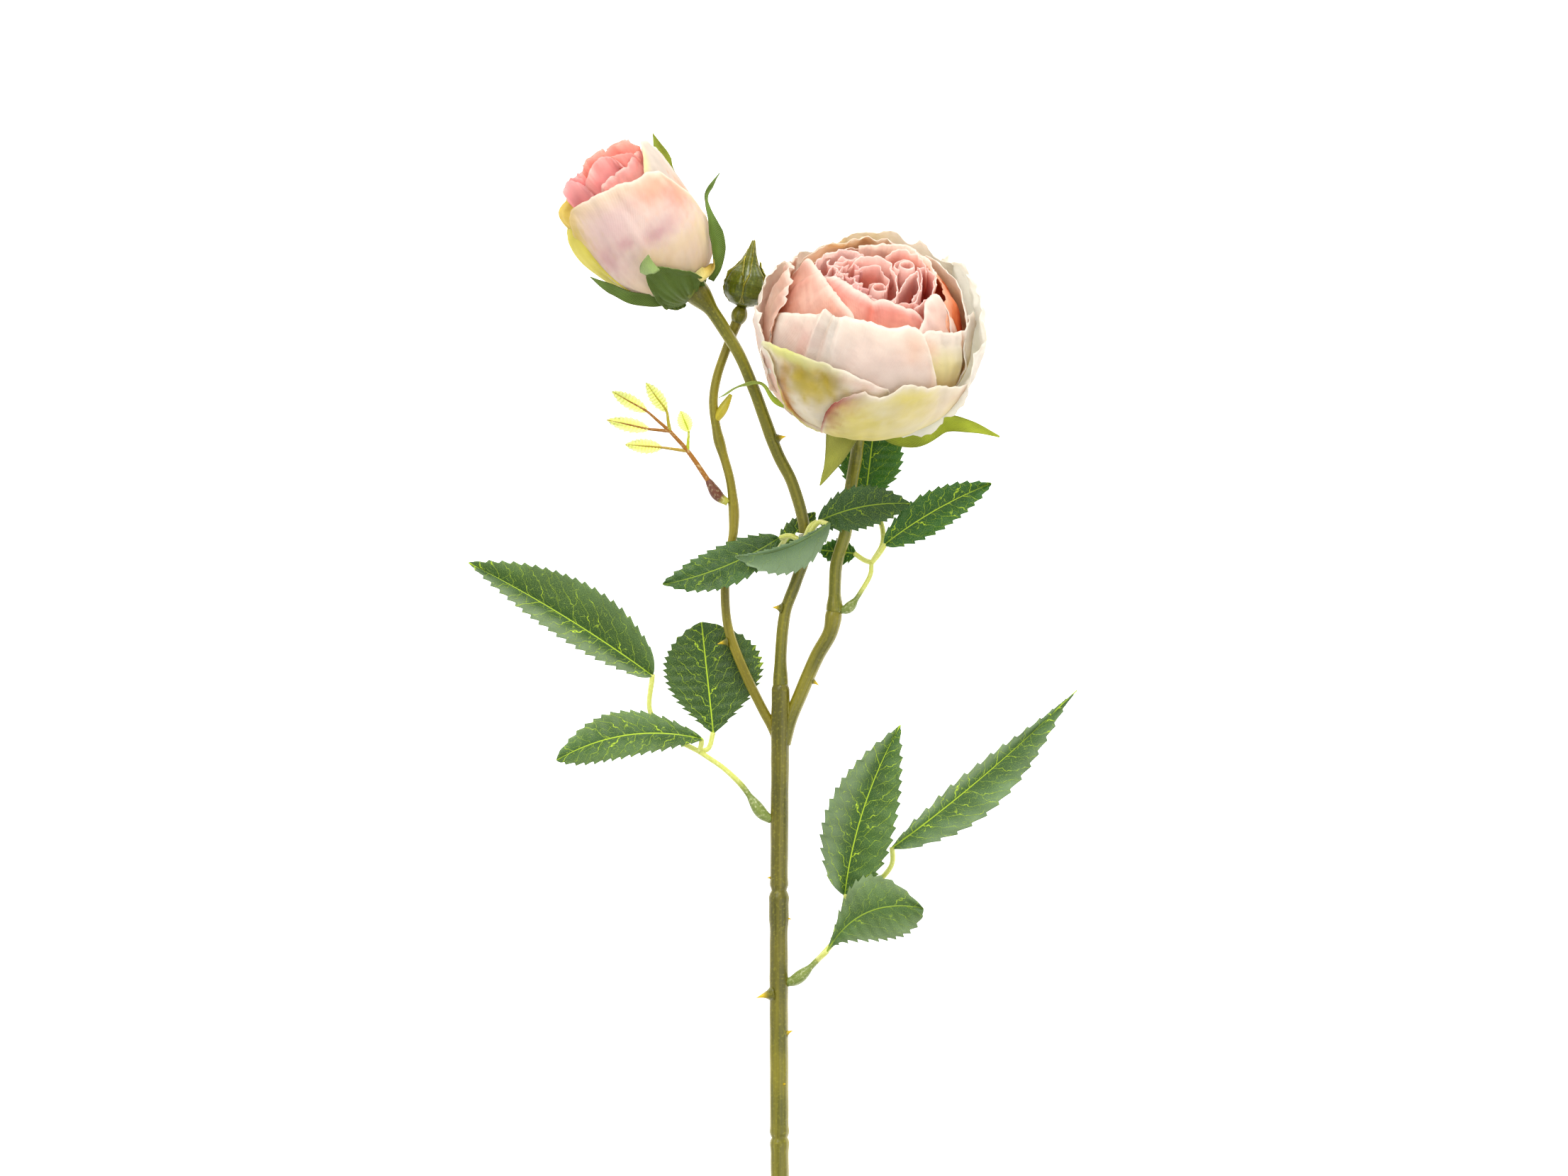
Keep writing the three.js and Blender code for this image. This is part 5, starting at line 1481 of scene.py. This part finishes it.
LEAVES = {
    "left_leaf_1": dict(
        base=(-25.8, -18.4, 9.8), tip=(-74.3, -25.3, 12), width=17, bow=5, arch=2, roll=-20,
        halves=(0.9, 1.1), ends=(0.85, 0.68), tones=DARK_LEAF, seed=901, curl=0.5,
    ),
    "left_leaf_2": dict(
        base=(-22.3, -16.5, 4.6), tip=(-26.3, 20.5, 4.2), width=34, ends=(0.98, 0.72), halves=(0.85, 1.12),
        tones=[0x0D2C00, 0x1C3A08, 0x2E4A1A], seed=902, teeth=17,
    ),
    "left_leaf_3": dict(
        base=(-42.5, 2.7, 7), tip=(-103.6, 40.3, 10), width=21, bow=1.5, arch=3, fold=12,
        tones=[0x193600, 0x2F4A16, 0x50683C], seed=903, teeth=20, halves=(0.68, 1.32), ends=(0.6, 0.85),
        painted_sheen_side=-1,
    ),
    "right_leaf_1": dict(
        base=(15.4, -89, 10.2), tip=(47.5, -74.4, 12.5), width=23, bow=-6.5, arch=2,
        tones=[0x385220, 0x496234, 0x627451], seed=904, teeth=12, ends=(1.45, 0.82), halves=(1.05, 1.0),
    ),
    "right_leaf_2": dict(
        base=(21.4, -70.2, 8), tip=(39.8, -13.6, 13.5), width=25, bow=-3, arch=2, fold=14,
        tones=[0x1D3E09, 0x305019, 0x466231], seed=905, ends=(0.6, 0.95), painted_sheen_side=-1,
    ),
    "right_leaf_3": dict(
        base=(37, -54.8, 6), tip=(98.4, -2.0, 12), width=16, bow=1.5, arch=1, roll=20, twist=-30,
        tones=[0x2B4714, 0x425D34, 0x647A56], seed=906, ends=(0.85, 1.35), halves=(0.6, 1.35), painted_sheen_side=-1,
    ),
    "middle_leaf_1": dict(
        base=(-0.6, 48.4, 14.4), tip=(-39, 33, 16), width=15, bow=-2, arch=1.5, roll=-18,
        tones=[0x0F3005, 0x1B3C0F, 0x325224], seed=907, teeth=12,
    ),
    "middle_leaf_2": dict(
        base=(16.4, 53.6, 21.4), tip=(-15, 42.4, 20.5), width=12, bow=-3, arch=1, roll=8, tones=PALE_LEAF,
        seed=908, teeth=11, vein=0.3, halves=(1.5, 0.25), ends=(0.7, 0.8),
    ),
    "middle_leaf_3": dict(
        base=(-0.6, 44.6, 8.6), tip=(11.6, 57, 7.4), width=9, tones=DARK_LEAF, seed=909, teeth=7,
    ),
    "middle_leaf_4": dict(
        base=(12.6, 54, 16.6), tip=(43, 59.8, 18), width=15, bow=-2, arch=1.5, roll=-8,
        tones=[0x0A2A04, 0x12350A, 0x26461F], seed=910, teeth=12,
    ),
    "upper_leaf_1": dict(
        base=(34.6, 46.4, 12), tip=(70, 66.6, 14), width=14, bow=-1.5, arch=1.5, fold=10,
        tones=[0x0A3C00, 0x114A02, 0x28571A], seed=911, teeth=12,
    ),
    "upper_leaf_2": dict(
        base=(28.4, 62.4, 4.6), tip=(32, 92, 3.4), width=22, tones=VIVID_LEAF, seed=912, teeth=11,
    ),
    "upper_leaf_3": dict(
        base=(25, 43.4, 7), tip=(12.8, 44.6, 6.4), width=9, tones=VIVID_LEAF, seed=913, teeth=7,
    ),
}
for name, spec in LEAVES.items():
    leaf = Shape()
    leaflet(leaf, **spec)
    material = LEAF
    if name in ("middle_leaf_1", "middle_leaf_4", "right_leaf_1"):
        material = LEAF_FAINT
    if name == "middle_leaf_2":
        material = LEAF_BACK
    leaf.piece(name, material, "leaf_fabric")

# ---- Leaf stalks ----------------------------------------------------------------------------------------

SHEATH_GREEN = 0x6A783A
STALK_TONE = 0xC2C56A


def sheath_shade(s, length, angle):
    t = smooth(0.35, 0.6, s / length)[..., None]
    return linear(SHEATH_GREEN) * (1 - t) + linear(STALK_TONE) * t + 0 * angle[..., None]


def stalk_shade(s, length, angle):
    # painted highlight: two paler lines run along the stalk
    painted_highlight_line = smooth(0.2, 1.0, np.cos(2 * angle + 0.6))[..., None] * 0.5
    return linear(STALK_TONE) * (1 - painted_highlight_line) + linear(0xDEDDA0) * painted_highlight_line + 0 * s[..., None]


def sheath_radius(scale):
    def radius(s, length):
        t = s / length
        belly = 2.1 * hill(t, 0.16, 0.2)
        return scale * np.maximum(belly + 0.25 * hill(t, 0, 0.03), 0.85 + 0.2 * (1 - t))

    return radius


def stalks(name, sheath, scale, *rods):
    shape = Shape()
    if sheath:
        shape.tube(sheath, sheath_radius(scale), sheath_shade, sides=20, ridges=0.08, seed=71)
    for rod in rods:
        shape.tube(rod, even(0.85), stalk_shade, sides=16, ridges=0.05, seed=72, spacing=0.5)
    shape.piece(name, STALK, "stalk_plastic")


left_node, right_node = stem_at(44.3), stem_at(98.4)
stalks(
    "left_leaf_stalk",
    [
        left_node + (-2.6, -1, 0), left_node + (-5.6, 1, 0), (-12.7, -34, 7.4), (-19, -28, 6.8),
        (-27, -22.6, 6.2),
    ],
    1.0, [(-27, -22.6, 6.2), (-26.4, -20.4, 8), (-26.2, -18.6, 9.5)],
    [(-27, -22.6, 6.2), (-24, -21.5, 5), (-22.4, -16.2, 4.9)],
    [(-27, -22.6, 6.2), (-37, -17, 4.6), (-43.3, -9.5, 5), (-42.6, 3.2, 6.9)],
)
stalks(
    "right_leaf_stalk",
    [
        right_node + (2.6, -1, 0), right_node + (5.6, 0, 0), (13.2, -91, 6.6), (19, -84.5, 6),
        (23.4, -79.5, 5.6),
    ],
    1.0, [(12.4, -91.8, 6.8), (13.6, -90.7, 8.6), (15.6, -88.8, 10.0)],
    [(23.4, -79.5, 5.6), (22.6, -76, 6.2), (21.6, -69.8, 7.9)],
    [(23.4, -79.5, 5.6), (30, -69, 4.8), (37, -60.3, 5), (37.2, -54.4, 6)],
)
middle_line, middle_run = curve_through(MIDDLE_BRANCH, 0.5)
collar_s = 0.36 * middle_run[-1]
COLLAR = np.array([np.interp(collar_s, middle_run, middle_line[:, k]) for k in range(3)])
hub = COLLAR + (-0.6, -0.4, 4.6)
stalks(
    "middle_leaf_stalk", None, 1.0,
    [hub, (3, 49.2, 15.6), (-0.2, 48.5, 14.5)],
    [hub, (10, 52.4, 16.9), (12.2, 53.9, 16.6)],
    [hub, (12.6, 53.6, 18.2), (15.6, 53.1, 21.0)],
    [hub, (3, 49.2, 15.6), (0.6, 46.4, 11.4), (-0.5, 44.9, 8.9)],
)
upper_start = np.array([17.9 + 4.54, 25.2, 10.6])
stalks(
    "upper_leaf_stalk",
    [upper_start + (-2.6, -0.6, 0), upper_start, (27.3, 31.6, 10.8), (29.9, 36.5, 10.8), (30.3, 40.3, 10.6)],
    0.85, [(30.3, 40.3, 10.6), (33, 43.6, 11.2), (34.9, 46.7, 11.9)],
    [(30.3, 40.3, 10.6), (27.8, 41.2, 8.6), (24.6, 43.4, 7.1)],
    [(30.3, 40.3, 10.6), (34, 47, 8), (33.4, 54, 6), (28.6, 62.8, 4.7)],
)

# ---- Clear collar ---------------------------------------------------------------------------------------

CLEAR_TONE = 0xEDF0DA
tangent = unit(np.array([np.interp(collar_s + 1, middle_run, middle_line[:, k]) for k in range(3)]) - COLLAR)
side = unit(np.cross(tangent, [0.0, 0.0, 1.0]))
upward = np.cross(side, tangent)
angle, share = np.meshgrid(np.linspace(0, 2 * math.pi, 49), np.linspace(-1, 1, 15))
r = 2.9 + 0.35 * (1 - share**2) + 0.12 * waves(81, 3 * angle, 4 * share, 5)
slide = 3.0 * share * (1 + 0.06 * np.cos(2 * angle))
wall = COLLAR + slide[..., None] * tangent + (
    r * np.cos(angle)
)[..., None] * side + (r * np.sin(angle))[..., None] * upward
collar = Shape()
clear = np.broadcast_to(linear(CLEAR_TONE), wall.shape)
collar.sheet(wall, clear, clear, np.stack([slide, angle * 3], -1), 0.9, 0.7)


def loop_radius(s, length):
    return 1.5 * np.sin(math.pi * np.clip(s / length, 0.05, 0.95)) ** 0.5 + 0.1


# The raised loop of the collar.
loop = [hub + (-1.6, -0.6, -0.8), hub + (0, 0.2, 0.1), hub + (1.8, 0.8, -0.6)]
collar.tube(loop, loop_radius, flat_shade(CLEAR_TONE), sides=16)
collar.piece("clear_collar", CLEAR, "clear_plastic")

# ---- Young sprig ----------------------------------------------------------------------------------------

RACHIS, SPRIG_LEAF, SPRIG_EDGE, SHEATH_RED = 0x8E5A14, 0xE2E888, 0xEEF2B0, 0x5E3424
FORK, TOP = (-30.8, 77.4, 10.4), (-36.7, 84, 10.8)
sprig = Shape()


def sprig_sheath_radius(s, length):
    t = s / length
    return 1.1 + 0.9 * hill(t, 0.45, 0.3) - 0.5 * smooth(0.8, 1, t)


def vein_radius(s, length):
    return 0.62 * (1 - 0.85 * s / length) + 0.03


def sheath_red(s, length, angle):
    t = smooth(0.1, 0.3, s / length)[..., None]
    return linear(0xA9A848) * (1 - t) + linear(SHEATH_RED) * t + 0 * angle[..., None]


SHEATH = [(-17.4, 60.2, 9.8), (-20.6, 62.4, 9.9), (-24.7, 68.7, 10.1)]
sprig.tube(SHEATH, sprig_sheath_radius, sheath_red, sides=20, ridges=0.06)
sprig.tube(
    [(-23.6, 67, 10.1), FORK, TOP], lambda s, n: 0.95 - 0.3 * s / n, flat_shade(RACHIS), sides=16,
    spacing=0.5,
)
for k, (start, base, tip, tone) in enumerate([
    (TOP, (-44.4, 90.6, 11.4), (-55.9, 97.1, 12.4), RACHIS),
    (TOP, (-37.8, 90.6, 11.6), (-44.6, 100, 13), 0x9E9224),
    (TOP, (-43.7, 84.7, 10.8), (-57.6, 87.7, 11.6), RACHIS),
    (FORK, (-39.5, 78.6, 10.2), (-51.5, 79.5, 10.6), 0xA0842A),
    (FORK, (-30.5, 84, 11), (-33.1, 90.6, 12), 0xA9B22C),
]):
    start, base, tip = (np.array(p, float) for p in (start, base, tip))
    vein = [start, (start + base) / 2, base, base + (tip - base) * 0.5, tip]
    sprig.tube(vein, vein_radius, flat_shade(tone), sides=12, spacing=0.4)
    leaflet(
        sprig, base, tip, 5.2, [0xD4DC66, SPRIG_LEAF, SPRIG_EDGE], 950 + k, teeth=8, rows=90, columns=21,
        cut=0.7, vein=1.2,
    )
sprig.piece("young_sprig", SPRIG, "sprig_plastic")

# ---- Surface, light and camera --------------------------------------------------------------------------

GAP_UNDER = 0.0006
bpy.ops.mesh.primitive_plane_add(size=6.0, location=(0, 0, -GAP_UNDER))
floor = bpy.context.object
floor.name = "pale_surface"
paper = Nodes("pale_paper")
tone = paper.mix(paper.noise(paper.place(), 0.02, 1.0), (0.9, 0.9, 0.9, 1), (0.92, 0.92, 0.92, 1))
floor.data.materials.append(
    paper.finish(Emission_Color=(1, 1, 1, 1), Emission_Strength=0.9, Base_Color=tone, Roughness=0.9)
)

sky = bpy.data.worlds.new("soft_room")
bpy.context.scene.world = sky
sky.use_nodes = True
sky.node_tree.nodes["Background"].inputs["Color"].default_value = (1.0, 1.0, 1.0, 1)
sky.node_tree.nodes["Background"].inputs["Strength"].default_value = 0.9


def soft_light(name, place, size, power):
    data = bpy.data.lights.new(name, "AREA")
    data.shape = "SQUARE"
    data.size = size
    data.energy = power
    lamp = bpy.data.objects.new(name, data)
    bpy.context.scene.collection.objects.link(lamp)
    lamp.location = place
    way = -np.array(place, float)
    lean = math.atan2(math.hypot(way[0], way[1]), -way[2])
    lamp.rotation_euler = (lean, 0, math.atan2(way[1], way[0]) - math.pi / 2)


soft_light("key_light", (-0.7, 0.9, 1.6), 0.9, 10.6)
soft_light("fill_light", (1.0, -0.5, 1.5), 1.2, 7.4)
soft_light("far_light", (0.15, 1.35, 0.85), 0.7, 17)

VIEW_WIDTH, LENS, SENSOR = 0.5198, 150, 36
camera_data = bpy.data.cameras.new("camera")
camera_data.lens = LENS
camera_data.sensor_width = SENSOR
camera = bpy.data.objects.new("camera", camera_data)
bpy.context.scene.collection.objects.link(camera)
view_middle = world((1.2, 31.9, 15.0))
camera.location = view_middle + np.array([0, 0, VIEW_WIDTH * LENS / SENSOR])
bpy.context.scene.camera = camera

bpy.context.scene.view_settings.view_transform = "Standard"
bpy.context.scene.view_settings.look = "None"
bpy.context.scene.view_settings.exposure = 0.0
